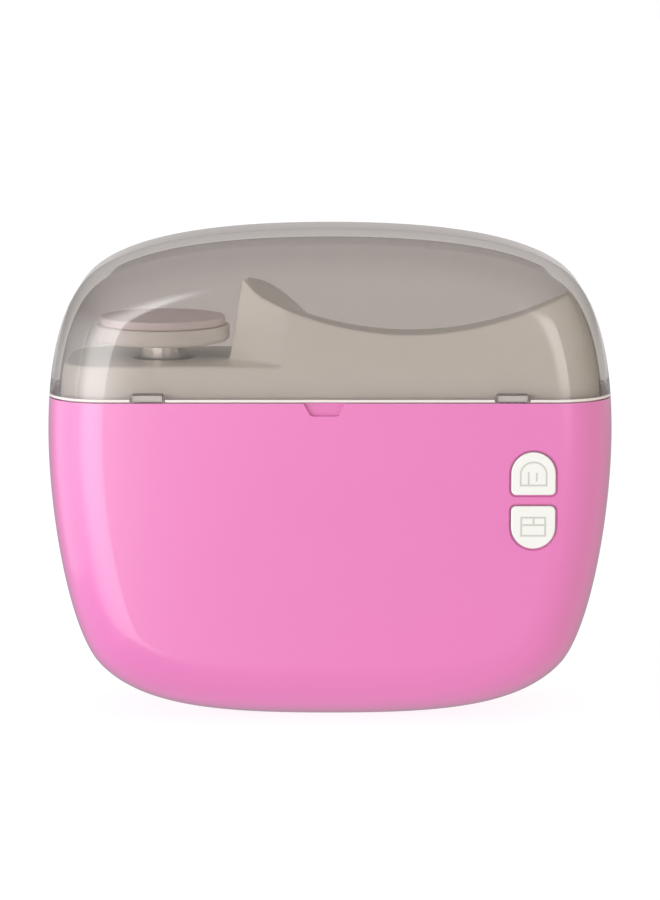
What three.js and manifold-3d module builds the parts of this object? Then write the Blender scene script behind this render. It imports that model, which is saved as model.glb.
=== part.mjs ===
// Compact desktop nail buffer with dust collection: a pillow-shaped pink case, a clear hinged lid,
// a turning buffing disc, a saddle for the hand, a fan with a filter, and a dust drawer at the back.
// Millimetres, X right, Y to the back, Z up, origin at the centre of the base.
import * as THREE from "three";
import { mergeVertices } from "three/addons/utils/BufferGeometryUtils.js";
import Module from "manifold-3d";

const wasm = await Module();
wasm.setup();

// ---------------------------------------------------------------- driving dimensions
const HALF_WIDTH = 77.5; // widest half of the outline
const WIDEST_Z = 78; // height of the widest point
const TOP_Z = 135.2;
const BOTTOM_Z = 0.3; // the case stands on the base pad, this far up
const HALF_DEPTH = 26;
const EDGE_ROUND = 16; // radius of the rounded front and back edges
const SEAM_Z = 89.4;
const SEAM_GAP = 0.4;
const WALL = 2.4;
const DECK_INSET = 3.0; // the deck is this far inside the outline
const DECK_SKIN = 2.0;
const DECK_FLOOR_Z = 84; // lower edge of the deck's skirt
const DECK_TOP_Z = 98.8; // the low, flat part under the disc
const CROWN_Z = 131; // top of the cavity under the lid
const HINGE = { y: 29, z: SEAM_Z, r: 2.6, bore: 1.3, pin: 1.2 };
const SWING_CLEARANCE = 0.9; // between the deck's front and the lid as it swings
const DISC = { x: -46.3, y: 0 };
const FAN = { x: 38, z: 47.5, size: 40, y0: 11.5, y1: 21.5 };
const BUTTON = { x: 55.2, width: 12.1, height: 11.8, upperZ: 70.1, lowerZ: 55.3, gap: 0.6 };
const DRAWER = { x0: -24, x1: 13, y0: -18, z0: 26.2, z1: 60, wall: 1.5 };
const GRILLE = { x: 22, y: 9, width: 30, depth: 15 };
const CELL = { z: 15, r: 9.1, length: 65 };
const PORT = { x: -48, z: 34, width: 9, height: 3.2 };
const CASE_SCREWS = [
  { x: -66, z: 76 },
  { x: 36, z: 79 },
  { x: -44, z: 21 },
  { x: 44, z: 21 },
];

// ---------------------------------------------------------------- materials
const material = (color, roughness, metalness = 0) =>
  new THREE.MeshStandardMaterial({ color, roughness, metalness });
const PINK = material(0xf48fcb, 0.3);
const IVORY = material(0xf3ebe0, 0.45);
const SMOKE = new THREE.MeshStandardMaterial({
  color: 0x8f837d,
  roughness: 0.08,
  transparent: true,
  opacity: 0.45,
});
const WHITE = material(0xf5f3f0, 0.35);
const GREY = material(0x8b8581, 0.6);
const PAD = material(0x9a928e, 0.9);
const STEEL = material(0xc8c8cc, 0.3, 1);
const BLACK = material(0x2a2a2c, 0.55);
const GREEN = material(0x2f6b46, 0.5);
const CELL_WRAP = material(0x3f6fb0, 0.4);
const FILTER = material(0xe8e6df, 0.95);
const RUBBER = material(0x5a5654, 0.9);

// ---------------------------------------------------------------- solids
// A three.js geometry as a manifold solid.
function solid(geometry) {
  const bare = geometry.clone();
  bare.deleteAttribute("normal");
  bare.deleteAttribute("uv");
  const merged = mergeVertices(bare, 1e-4);
  const mesh = new wasm.Mesh({
    numProp: 3,
    vertProperties: new Float32Array(merged.attributes.position.array),
    triVerts: new Uint32Array(merged.index.array),
  });
  return new wasm.Manifold(mesh);
}

function join(...solids) {
  return solids.reduce((sum, next) => sum.add(next));
}

function cut(from, ...solids) {
  return solids.reduce((rest, next) => rest.subtract(next), from);
}

function box(x0, x1, y0, y1, z0, z1) {
  const geometry = new THREE.BoxGeometry(x1 - x0, y1 - y0, z1 - z0);
  geometry.translate((x0 + x1) / 2, (y0 + y1) / 2, (z0 + z1) / 2);
  return solid(geometry);
}

// Cylinder from a to b along an axis, with its centre line through the two other coordinates.
function cylinder(axis, radius, a, b, p, q, segments = 20) {
  const geometry = new THREE.CylinderGeometry(radius, radius, b - a, segments);
  const middle = (a + b) / 2;
  if (axis === "x") geometry.rotateZ(Math.PI / 2).translate(middle, p, q);
  if (axis === "y") geometry.translate(p, middle, q);
  if (axis === "z") geometry.rotateX(Math.PI / 2).translate(p, q, middle);
  return solid(geometry);
}

// Round body about a vertical axis. The profile is a list of [radius, height].
function turned(profile, x, y, segments = 28) {
  const points = profile.map(([r, z]) => new THREE.Vector2(r, z));
  const geometry = new THREE.LatheGeometry(points, segments);
  geometry.rotateX(Math.PI / 2);
  geometry.translate(x, y, 0);
  return solid(geometry);
}

// Shape drawn in X and Z, extruded along Y from y0 to y1, with an optional rounded edge.
function frontal(shape, y0, y1, edge = 0, curveSegments = 8) {
  const geometry = new THREE.ExtrudeGeometry(shape, {
    depth: y1 - y0 - 2 * edge,
    curveSegments,
    bevelEnabled: edge > 0,
    bevelThickness: edge,
    bevelSize: edge,
    bevelOffset: -edge,
    bevelSegments: 2,
  });
  geometry.rotateX(Math.PI / 2);
  geometry.translate(0, y1 - edge, 0);
  return solid(geometry);
}

function roundedRectangle(x0, x1, z0, z1, r) {
  const shape = new THREE.Shape();
  shape.moveTo(x0 + r, z0);
  shape.lineTo(x1 - r, z0);
  shape.absarc(x1 - r, z0 + r, r, -Math.PI / 2, 0);
  shape.lineTo(x1, z1 - r);
  shape.absarc(x1 - r, z1 - r, r, 0, Math.PI / 2);
  shape.lineTo(x0 + r, z1);
  shape.absarc(x0 + r, z1 - r, r, Math.PI / 2, Math.PI);
  shape.lineTo(x0, z0 + r);
  shape.absarc(x0 + r, z0 + r, r, Math.PI, 1.5 * Math.PI);
  return shape;
}

// Box whose upper face has its own limits, so that its sides lean.
function taperedBox(lower, upper, z0, z1) {
  const geometry = new THREE.BoxGeometry(1, 1, 1);
  const position = geometry.attributes.position;
  for (let i = 0; i < position.count; i++) {
    const top = position.getZ(i) > 0;
    const limits = top ? upper : lower;
    const x = position.getX(i) > 0 ? limits[1] : limits[0];
    const y = position.getY(i) > 0 ? limits[3] : limits[2];
    position.setXYZ(i, x, y, top ? z1 : z0);
  }
  return solid(geometry);
}

const mix = THREE.MathUtils.lerp;
const smooth = (value, from, to) => THREE.MathUtils.smoothstep(value, from, to);

// ---------------------------------------------------------------- the pillow outline
// Right half of the outline from the top to the bottom, as Bezier control points (x, z).
const OUTLINE = [
  [[0, TOP_Z], [28.4, TOP_Z], [52, 132.3], [63.6, 124.3]],
  [[63.6, 124.3], [76.7, 115.4], [HALF_WIDTH, 88.6], [HALF_WIDTH, WIDEST_Z]],
  [[HALF_WIDTH, WIDEST_Z], [HALF_WIDTH, 56.6], [72.4, 23.5], [64, 14.4]],
  [[64, 14.4], [52.5, 1.9], [30.5, BOTTOM_Z], [0, BOTTOM_Z]],
];

// The whole outline: down the left side, then up the right side.
function outlineShape() {
  const left = OUTLINE.map((segment) => segment.map(([x, z]) => [-x, z]));
  const right = [...OUTLINE].reverse().map((segment) => [...segment].reverse());
  const shape = new THREE.Shape();
  shape.moveTo(0, TOP_Z);
  for (const [, b, c, d] of [...left, ...right]) {
    shape.bezierCurveTo(b[0], b[1], c[0], c[1], d[0], d[1]);
  }
  return shape;
}

const OUTLINE_STEPS = 8;
const EDGE_STEPS = 4;

// The case's full body, drawn in by inset on every side.
function pillow(inset) {
  const round = EDGE_ROUND - inset;
  const geometry = new THREE.ExtrudeGeometry(outlineShape(), {
    depth: 2 * (HALF_DEPTH - EDGE_ROUND),
    curveSegments: OUTLINE_STEPS,
    bevelThickness: round,
    bevelSize: round,
    bevelOffset: -EDGE_ROUND,
    bevelSegments: EDGE_STEPS,
  });
  geometry.rotateX(Math.PI / 2);
  geometry.translate(0, HALF_DEPTH - EDGE_ROUND, 0);
  return geometry;
}

// The same body with its upper part pressed down, which leaves the lid thicker at its crown.
function pillowUnderLid(inset) {
  const geometry = pillow(inset);
  const factor = (CROWN_Z - SEAM_Z) / (TOP_Z - WALL - SEAM_Z);
  const position = geometry.attributes.position;
  for (let i = 0; i < position.count; i++) {
    const rise = position.getZ(i) - SEAM_Z;
    if (rise > 0) position.setZ(i, SEAM_Z + rise * factor);
  }
  return solid(geometry);
}

const FAR = 200; // beyond every face of the object
const above = (z) => box(-FAR, FAR, -FAR, FAR, z, FAR);
const below = (z) => box(-FAR, FAR, -FAR, FAR, -FAR, z);

// ---------------------------------------------------------------- deck surface
// Heights of the front rim and of the back valley at their lowest, and of the ridge on the left.
const SADDLE = { x: 22, low: 107.2, valley: 100, ridge: 118.4, bow: 0.0056 };
const saddleBow = (x) => SADDLE.bow * (x - SADDLE.x) ** 2;

// Height of the saddle along its front rim.
function frontRim(x) {
  const horn = 0.07 * Math.max(0, -18 - x) ** 2;
  return SADDLE.low + saddleBow(x) + horn;
}

// Height along the back: a blunt ridge on the left that falls into the suction valley.
function backRim(x) {
  const valley = SADDLE.valley + saddleBow(x);
  return mix(SADDLE.ridge, valley, smooth(x, -24, 2.5));
}

function saddleHeight(x, y) {
  return mix(frontRim(x), backRim(x), smooth(y, -8, 14));
}

// Everything under the saddle surface, lowered by drop.
function underSaddle(drop) {
  const columns = 20;
  const rows = 8;
  const x0 = -34;
  const x1 = 82;
  const y0 = -32;
  const y1 = 32;
  const geometry = new THREE.BoxGeometry(x1 - x0, y1 - y0, 1, columns, rows, 1);
  geometry.translate((x0 + x1) / 2, (y0 + y1) / 2, 0);
  const position = geometry.attributes.position;
  for (let i = 0; i < position.count; i++) {
    const top = position.getZ(i) > 0;
    const height = saddleHeight(position.getX(i), position.getY(i)) - drop;
    position.setZ(i, top ? height : DECK_FLOOR_Z - 10);
  }
  return solid(geometry);
}

// Plan of the raised block: its left wall runs slantwise, then keeps clear of the disc.
const BLOCK_FOOT = { z: 99.1, front: [-4.1, -30], turn: [-27.7, -7.5], waist: [-25.9, 1] };
const BLOCK_TOP = { z: 121, front: [7.8, -27.2], turn: [-24, -7], waist: [-23.4, 1] };

function blockPlan(level, skin) {
  const t = (level - BLOCK_FOOT.z) / (BLOCK_TOP.z - BLOCK_FOOT.z);
  const at = (name) => [
    mix(BLOCK_FOOT[name][0], BLOCK_TOP[name][0], t) + skin,
    mix(BLOCK_FOOT[name][1], BLOCK_TOP[name][1], t),
  ];
  const waist = at("waist");
  return [at("front"), [90, -34], [90, 34], [waist[0], 34], waist, at("turn")];
}

// Prism whose outline is the plan of each level from a low one to a high one.
function blockSides(skin) {
  const low = DECK_FLOOR_Z - 10;
  const high = 126;
  const foot = blockPlan(low, skin);
  const shape = new THREE.Shape(foot.map(([x, y]) => new THREE.Vector2(x, y)));
  const settings = { depth: high - low, steps: 8, bevelEnabled: false };
  const geometry = new THREE.ExtrudeGeometry(shape, settings);
  const position = geometry.attributes.position;
  for (let i = 0; i < position.count; i++) {
    const level = low + position.getZ(i);
    const nearest = ([a, b]) => Math.hypot(a - position.getX(i), b - position.getY(i)) < 1e-3;
    const [x, y] = blockPlan(level, skin)[foot.findIndex(nearest)];
    position.setXYZ(i, x, y, level);
  }
  return solid(geometry);
}

// What the lid's hollow sweeps clear as it swings about the hinge, drawn in by skin.
function hingeSweep(skin) {
  const cornerRadius = EDGE_ROUND - WALL;
  const cornerX = halfWidthAtSeam() - EDGE_ROUND;
  const reach = HINGE.y + HALF_DEPTH - EDGE_ROUND - SWING_CLEARANCE - skin;
  const steps = 6;
  const corner = [];
  for (let i = 0; i <= steps; i++) {
    const angle = (i / steps) * THREE.MathUtils.degToRad(84);
    const x = cornerX + cornerRadius * Math.sin(angle);
    const r = reach + cornerRadius * Math.cos(angle);
    corner.push([r, x]);
  }
  const end = [0, corner[steps][1]];
  const right = [...corner, end];
  const left = [...right].reverse().map(([r, x]) => [r, -x]);
  const points = [...left, ...right].map(([r, x]) => new THREE.Vector2(r, x));
  const geometry = new THREE.LatheGeometry(points, 96);
  geometry.rotateZ(-Math.PI / 2);
  geometry.translate(0, HINGE.y, HINGE.z);
  return solid(geometry);
}

// Half width of the outline at the seam, from the drawn shape itself.
function halfWidthAtSeam() {
  const points = outlineShape().getPoints(60);
  const nearest = points.reduce((best, p) =>
    Math.abs(p.y - SEAM_Z) < Math.abs(best.y - SEAM_Z) ? p : best,
  );
  return Math.abs(nearest.x);
}

// The deck's outer form, or its hollow when skin is the wall thickness.
function deckForm(skin) {
  const low = below(DECK_TOP_Z - skin);
  const block = underSaddle(skin).intersect(blockSides(skin));
  const shell = pillowUnderLid(DECK_INSET + skin).intersect(hingeSweep(skin));
  return shell.intersect(join(low, block));
}

function grilleOpening(margin) {
  const halfWidth = GRILLE.width / 2 + margin;
  const halfDepth = GRILLE.depth / 2 + margin;
  const { x, y } = GRILLE;
  return box(x - halfWidth, x + halfWidth, y - halfDepth, y + halfDepth, DECK_FLOOR_Z, 125);
}

// ---------------------------------------------------------------- case
const BOSS = { r: 3, pilot: 1.4, clear: 1.6, seatR: 3.1, seatY: 22.2, wallR: 4.2 };
const SHELL_PARTING = 0.15; // half the gap between the front and the rear shell
const POST_ROOT = 0.8; // how far the screw posts reach into the wall they stand on
const UPPER_LIMIT = SEAM_Z - SEAM_GAP / 2;

function caseHalf(side) {
  const hollow = cut(solid(pillow(0)), solid(pillow(WALL)));
  const kept =
    side === "front"
      ? box(-FAR, FAR, -FAR, -SHELL_PARTING, -FAR, UPPER_LIMIT)
      : box(-FAR, FAR, SHELL_PARTING, FAR, -FAR, UPPER_LIMIT);
  return hollow.intersect(kept);
}

// Screw posts, ended where they have reached into the case's wall.
function rooted(...posts) {
  return solid(pillow(WALL - POST_ROOT)).intersect(join(...posts));
}

// Pocket in the underside for the base pad.
const PAD_SIZE = { x: 24, y: 8, z: 1.5, gap: 0.3 };
function padPocket() {
  const { x, y, z, gap } = PAD_SIZE;
  return box(-x - gap, x + gap, -y - gap, y + gap, -1, z + gap);
}

// Small finger notch under the lid's front edge.
function fingerNotch() {
  const shape = new THREE.Shape();
  const bottom = SEAM_Z - 3.7;
  shape.moveTo(-7.2, SEAM_Z + 1);
  shape.lineTo(-7.2, SEAM_Z - 0.3);
  shape.lineTo(-5.6, bottom + 0.8);
  shape.quadraticCurveTo(-5.1, bottom, -4.1, bottom);
  shape.lineTo(1.2, bottom);
  shape.quadraticCurveTo(2.2, bottom, 2.7, bottom + 0.8);
  shape.lineTo(4.1, SEAM_Z - 0.3);
  shape.lineTo(4.1, SEAM_Z + 1);
  return frontal(shape, -HALF_DEPTH - 1, -HALF_DEPTH + WALL - 0.9, 0, 3);
}

function frontShell() {
  const bosses = CASE_SCREWS.map(({ x, z }) =>
    cut(
      cylinder("y", BOSS.r, -HALF_DEPTH, -SHELL_PARTING, x, z, 14),
      cylinder("y", BOSS.pilot, -13, 1, x, z, 8),
    ),
  );
  const boardPosts = BOARD_SCREWS.map(({ x, z }) =>
    cut(
      cylinder("y", 2.2, -HALF_DEPTH, BOARD.y0 - 0.1, x, z, 12),
      cylinder("y", 0.9, -21, BOARD.y0, x, z, 8),
    ),
  );
  const outside = -HALF_DEPTH - 2;
  const inside = -HALF_DEPTH + WALL + 1;
  const apertures = [
    buttonBlank(BUTTON.upperZ, 1, -BUTTON.gap, outside, inside),
    buttonBlank(BUTTON.lowerZ, -1, -BUTTON.gap, outside, inside),
  ];
  const wall = join(caseHalf("front"), rooted(...bosses, ...boardPosts));
  return cut(wall, padPocket(), fingerNotch(), ...apertures);
}

// ---------------------------------------------------------------- hinge at the back
const KNUCKLE = { inner: 8, middle: 19.7, gap: 0.6, outer: 29 };

// One knuckle with its arm, between two X limits; the arm reaches from the wall to the barrel.
function knuckle(x0, x1, armLow, armHigh) {
  const barrel = cylinder("x", HINGE.r, x0, x1, HINGE.y, HINGE.z, 20);
  const arm = box(x0, x1, HALF_DEPTH - 1, HINGE.y, armLow, armHigh);
  const bore = cylinder("x", HINGE.bore, x0 - 1, x1 + 1, HINGE.y, HINGE.z, 12);
  return cut(join(barrel, arm), bore);
}

function caseKnuckles() {
  const { middle, gap, outer } = KNUCKLE;
  const low = HINGE.z - HINGE.r;
  return [
    knuckle(middle + gap, outer, low, UPPER_LIMIT),
    knuckle(-outer, -middle - gap, low, UPPER_LIMIT),
  ];
}

function lidKnuckles() {
  const { inner, middle } = KNUCKLE;
  const high = HINGE.z + HINGE.r;
  return [
    knuckle(inner, middle, LID_LOW_Z, high),
    knuckle(-middle, -inner, LID_LOW_Z, high),
  ];
}

function hingePin(side) {
  const { inner, outer } = KNUCKLE;
  const ends = side > 0 ? [inner, outer] : [-outer, -inner];
  return cylinder("x", HINGE.pin, ends[0], ends[1], HINGE.y, HINGE.z, 12);
}

// ---------------------------------------------------------------- rear shell
const DRAWER_DOOR = { x0: -26, x1: 15, z0: 25, z1: 62, gap: 0.4 };
const SHELF = { below: 0.7, above: 0.6, y0: 1 }; // runner under the drawer, about the door's lower edge
const VENT_R = 19;
const LOUVRES = [-12, -8, -4, 0, 4, 8, 12]; // slot centres, from the middle of a grille

function rearShell() {
  const bosses = CASE_SCREWS.map(({ x, z }) =>
    cylinder("y", BOSS.wallR, SHELL_PARTING, HALF_DEPTH, x, z, 14),
  );
  const screwHoles = CASE_SCREWS.flatMap(({ x, z }) => [
    cylinder("y", BOSS.clear, 0, HALF_DEPTH + 1, x, z, 10),
    cylinder("y", BOSS.seatR, BOSS.seatY, HALF_DEPTH + 1, x, z, 14),
  ]);
  const door = DRAWER_DOOR;
  const shelf = box(
    door.x0 + 1,
    door.x1 - 1,
    SHELF.y0,
    HALF_DEPTH - 1,
    door.z0 - SHELF.below,
    door.z0 + SHELF.above,
  );
  const window = box(door.x0, door.x1, HALF_DEPTH - WALL - 0.1, HALF_DEPTH + 1, door.z0, door.z1);
  const vent = cylinder("y", VENT_R + 0.3, HALF_DEPTH - WALL - 1, HALF_DEPTH + 1, FAN.x, FAN.z, 36);
  const slot = roundedRectangle(
    PORT.x - PORT.width / 2 - 0.4,
    PORT.x + PORT.width / 2 + 0.4,
    PORT.z - PORT.height / 2 - 0.4,
    PORT.z + PORT.height / 2 + 0.4,
    1.9,
  );
  const portHole = frontal(slot, HALF_DEPTH - WALL - 1, HALF_DEPTH + 1, 0, 3);
  const whole = join(caseHalf("rear"), rooted(...bosses), shelf, ...caseKnuckles());
  return cut(whole, padPocket(), window, vent, portHole, ...screwHoles);
}

function ventGrille() {
  const { x, z } = FAN;
  const disc = cylinder("y", VENT_R, HALF_DEPTH - WALL + 0.1, HALF_DEPTH - 0.1, x, z, 36);
  const slottedR = VENT_R - 2.5;
  const halfSlot = 1.1;
  const slots = LOUVRES.map((rise) => {
    const half = Math.sqrt(slottedR ** 2 - rise ** 2);
    return box(x - half, x + half, 0, HALF_DEPTH + 2, z + rise - halfSlot, z + rise + halfSlot);
  });
  return cut(disc, ...slots);
}

function basePad() {
  const { x, y, z } = PAD_SIZE;
  return box(-x, x, -y, y, 0, z);
}

function caseScrew(x, z) {
  const head = cylinder("y", 2.7, BOSS.seatY + 0.1, BOSS.seatY + 1.9, x, z, 14);
  const drive = cylinder("y", 1.1, BOSS.seatY + 1, BOSS.seatY + 3, x, z, 6);
  const shank = cylinder("y", 1.15, -10, BOSS.seatY + 0.5, x, z, 10);
  return cut(join(head, shank), drive);
}

// ---------------------------------------------------------------- lid and its catches
const LID_LOW_Z = SEAM_Z + SEAM_GAP / 2;
const WINDOW = { x: 49.4, halfWidth: 4.5, height: 2.1, round: 0.8 };

function catchWindow(side) {
  const { x, halfWidth, height, round } = WINDOW;
  const shape = roundedRectangle(
    side * x - halfWidth,
    side * x + halfWidth,
    LID_LOW_Z - 3,
    LID_LOW_Z + height,
    round,
  );
  return frontal(shape, -HALF_DEPTH - 1, -HALF_DEPTH + WALL + 1, 0, 3);
}

function lid() {
  const hollow = cut(solid(pillow(0)), pillowUnderLid(WALL));
  const cover = hollow.intersect(above(LID_LOW_Z));
  return cut(join(cover, ...lidKnuckles()), catchWindow(1), catchWindow(-1));
}

// Small tab on the deck's front that the lid's window snaps over.
function catchTab(side) {
  const { x, halfWidth } = WINDOW;
  const margin = 0.5;
  const x0 = side * x - halfWidth + margin;
  const x1 = side * x + halfWidth - margin;
  const front = -HALF_DEPTH + 0.8;
  return box(x0, x1, front, DECK_FRONT_Y - 0.05, LID_LOW_Z + 0.1, LID_LOW_Z + WINDOW.height - 0.4);
}

// ---------------------------------------------------------------- deck
const STEM_HOLE_R = 8.3;
const DECK_FRONT_Y = HINGE.y - (HINGE.y + HALF_DEPTH - WALL - SWING_CLEARANCE);
const BRACKET = { x: 15, y: 9, z0: 86.2, z1: 88.2, screwX: 15, bossR: 3 };

function deck() {
  const hollowed = cut(deckForm(0), deckForm(DECK_SKIN), below(DECK_FLOOR_Z));
  const bosses = [-1, 1].map((side) => {
    const x = DISC.x + side * BRACKET.screwX;
    const post = cylinder("z", BRACKET.bossR, BRACKET.z1 + 0.1, DECK_TOP_Z - 1, x, DISC.y, 14);
    const pilot = cylinder("z", 1.2, BRACKET.z1, DECK_TOP_Z - 2, x, DISC.y, 8);
    return cut(post, pilot);
  });
  const stemHole = cylinder("z", STEM_HOLE_R, DECK_FLOOR_Z, DECK_TOP_Z + 1, DISC.x, DISC.y, 32);
  return cut(join(hollowed, ...bosses), stemHole, grilleOpening(0.3));
}

// Slotted plate that continues the saddle over the suction opening, clipped in from below.
function intakeGrille() {
  const plugDepth = 3.4;
  const flangeTop = 2.2;
  const solidBelow = (drop) => underSaddle(drop).intersect(above(DECK_FLOOR_Z + 1));
  const plug = cut(solidBelow(0), solidBelow(plugDepth)).intersect(grilleOpening(0));
  const flange = cut(solidBelow(flangeTop), solidBelow(plugDepth)).intersect(grilleOpening(2));
  const { x, y } = GRILLE;
  const halfSlot = 1.2;
  const halfLength = GRILLE.depth / 2 - 2;
  const slots = LOUVRES.map((shift) =>
    box(x + shift - halfSlot, x + shift + halfSlot, y - halfLength, y + halfLength, 80, 125),
  );
  return cut(join(plug, flange), ...slots);
}

// ---------------------------------------------------------------- buffing head
const HEAD = { shaftR: 3, stemR: 6.3, baseR: 18.5, padR: 17.3 };

function buffingHead() {
  const { x, y } = DISC;
  const { shaftR, stemR, baseR, padR } = HEAD;
  const stem = [[0, 85.9], [shaftR, 85.9], [shaftR, 89.4], [stemR, 89.4], [stemR, 102.9], [0, 102.9]];
  const underside = [[0, 103], [baseR - 3, 103], [baseR - 0.7, 103.5], [baseR, 104.4]];
  const plate = [...underside, [baseR, 107.2], [baseR - 0.6, 107.8], [0, 107.8]];
  const disc = [[0, 107.9], [padR, 107.9], [padR, 109.5], [padR - 0.8, 110.2], [0, 110.2]];
  return {
    spindle: turned(stem, x, y),
    base: turned(plate, x, y),
    pad: turned(disc, x, y),
  };
}

function motor() {
  const { x, y } = DISC;
  const can = [[0, 52], [11.2, 52], [12, 52.8], [12, 83.6], [11.4, 84.2], [4, 84.2], [4, 85.6], [0, 85.6]];
  return turned(can, x, y, 24);
}

function motorBracket() {
  const { x, y } = DISC;
  const plate = box(x - 19, x + 19, y - BRACKET.y, y + BRACKET.y, BRACKET.z0, BRACKET.z1);
  const holes = [-1, 1].map((side) =>
    cylinder("z", 1.5, BRACKET.z0 - 1, BRACKET.z1 + 1, x + side * BRACKET.screwX, y, 10),
  );
  return cut(plate, cylinder("z", 6.4, BRACKET.z0 - 1, BRACKET.z1 + 1, x, y, 24), ...holes);
}

function bracketScrew(side) {
  const x = DISC.x + side * BRACKET.screwX;
  const head = cylinder("z", 2.6, BRACKET.z0 - 1.7, BRACKET.z0 - 0.1, x, DISC.y, 12);
  const shank = cylinder("z", 1.0, BRACKET.z0 - 1, DECK_TOP_Z - 4, x, DISC.y, 8);
  return join(head, shank);
}

// ---------------------------------------------------------------- dust path
// Funnel from the grille in the saddle down to the open top of the drawer.
function dustDuct() {
  const upper = [GRILLE.x - 15, GRILLE.x + 15, 1.5, 16.5];
  const lower = [-9, 11, -7, 12];
  const wall = 1.2;
  const shrink = ([a, b, c, d]) => [a + wall, b - wall, c + wall, d - wall];
  const z0 = DRAWER.z1 + 1;
  const z1 = 94.5;
  const outer = taperedBox(lower, upper, z0, z1);
  const rise = 0.4;
  const inner = taperedBox(shrink(lower), shrink(upper), z0 - rise, z1 + rise);
  return cut(outer, inner);
}

function dustDrawer() {
  const { x0, x1, y0, z0, z1, wall } = DRAWER;
  const door = DRAWER_DOOR;
  const faceBack = HALF_DEPTH - WALL;
  const tray = cut(
    box(x0, x1, y0, faceBack + 0.5, z0, z1),
    box(x0 + wall, x1 - wall, y0 + wall, faceBack, z0 + wall, z1 + 1),
  );
  const face = box(
    door.x0 + door.gap,
    door.x1 - door.gap,
    faceBack,
    HALF_DEPTH,
    door.z0 + door.gap,
    door.z1 - door.gap,
  );
  const middle = (door.x0 + door.x1) / 2;
  const grip = roundedRectangle(middle - 9, middle + 9, door.z1 - 11, door.z1 - 5, 2.9);
  const fingerGrip = frontal(grip, HALF_DEPTH - 1.3, HALF_DEPTH + 1, 0, 4);
  const airWindow = box(x1 - wall - 1, x1 + 0.5, -13, 9, z0 + 5, z1 - 5);
  return cut(join(tray, face), fingerGrip, airWindow);
}

// Pleated filter between the drawer and the fan.
function filterPanel() {
  const x0 = DRAWER.x1 + 0.9;
  const pleats = 11;
  const y0 = -14;
  const step = 2.2;
  const thickness = 1;
  const depth = 2.4;
  const front = [];
  for (let i = 0; i <= pleats; i++) front.push([i % 2 ? x0 + depth : x0, y0 + i * step]);
  const back = [...front].reverse().map(([x, y]) => [x + thickness, y]);
  const shape = new THREE.Shape([...front, ...back].map(([x, y]) => new THREE.Vector2(x, y)));
  const height = 32;
  const geometry = new THREE.ExtrudeGeometry(shape, { depth: height, bevelEnabled: false });
  geometry.translate(0, 0, 28);
  return solid(geometry);
}

function fanFrame() {
  const { x, z, size, y0, y1 } = FAN;
  const half = size / 2;
  const block = box(x - half, x + half, y0, y1, z - half, z + half);
  const throat = cylinder("y", 18.6, y0 - 1, y1 + 1, x, z, 36);
  const hub = cylinder("y", 8, y1 - 1.6, y1, x, z, 20);
  const bars = [90, 210, 330].map((degrees) => {
    const angle = THREE.MathUtils.degToRad(degrees);
    const bar = new THREE.BoxGeometry(13, 1.6, 2.2);
    bar.translate(13, 0, 0);
    bar.rotateY(angle);
    bar.translate(x, y1 - 0.8, z);
    return solid(bar);
  });
  return join(cut(block, throat), hub, ...bars);
}

function fanImpeller() {
  const { x, z, y0, y1 } = FAN;
  const hub = cylinder("y", 8.2, y0 + 0.6, y1 - 2.2, x, z, 20);
  const blades = 7;
  const pitch = THREE.MathUtils.degToRad(38);
  const length = 11;
  const fins = [];
  for (let i = 0; i < blades; i++) {
    const fin = new THREE.BoxGeometry(length, 1, 7.5);
    fin.rotateX(pitch);
    fin.translate(6.6 + length / 2, 0, 0);
    fin.rotateY((i / blades) * 2 * Math.PI);
    fin.translate(x, (y0 + y1) / 2 - 0.8, z);
    fins.push(solid(fin));
  }
  return join(hub, ...fins);
}

// ---------------------------------------------------------------- buttons and board
const BOARD = { x0: 42.5, x1: 67.5, y0: -16, y1: -14.6, z0: 44, z1: 81 };
const BOARD_SCREWS = [
  { x: 44.9, z: 62.5 },
  { x: 65.3, z: 62.5 },
];
const SWITCH_FRONT_Y = -18.9;
const BUTTON_STEM_END_Y = -19.8;

// Key outline: half round at its outer end (direction 1 up, -1 down), nearly square at the other.
function buttonBlank(z, direction, inset, y0, y1, edge = 0) {
  const halfWidth = BUTTON.width / 2 - inset;
  const halfHeight = BUTTON.height / 2 - inset;
  const corner = Math.max(1.4 - inset, 0.3);
  const shape = new THREE.Shape();
  const flat = -direction * halfHeight;
  const far = direction * halfHeight;
  const cx = BUTTON.x;
  shape.moveTo(cx - halfWidth + corner, z + flat);
  shape.lineTo(cx + halfWidth - corner, z + flat);
  shape.quadraticCurveTo(cx + halfWidth, z + flat, cx + halfWidth, z + flat + direction * corner);
  shape.lineTo(cx + halfWidth, z + far - direction * halfWidth);
  const pull = halfWidth * 0.45;
  shape.bezierCurveTo(
    cx + halfWidth,
    z + far - direction * pull,
    cx + halfWidth - pull,
    z + far,
    cx,
    z + far,
  );
  shape.bezierCurveTo(
    cx - halfWidth + pull,
    z + far,
    cx - halfWidth,
    z + far - direction * pull,
    cx - halfWidth,
    z + far - direction * halfWidth,
  );
  shape.lineTo(cx - halfWidth, z + flat + direction * corner);
  shape.quadraticCurveTo(cx - halfWidth, z + flat, cx - halfWidth + corner, z + flat);
  return frontal(shape, y0, y1, edge, 5);
}

function button(z, direction) {
  const flangeFront = -HALF_DEPTH + WALL + 0.7;
  const cap = buttonBlank(z, direction, 0, -HALF_DEPTH - 0.5, flangeFront + 0.8, 0.6);
  const flange = buttonBlank(z, direction, -0.9, flangeFront, flangeFront + 0.9);
  const stem = cylinder("y", 1.8, flangeFront, BUTTON_STEM_END_Y, BUTTON.x, z, 12);
  return join(cap, flange, stem);
}

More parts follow.
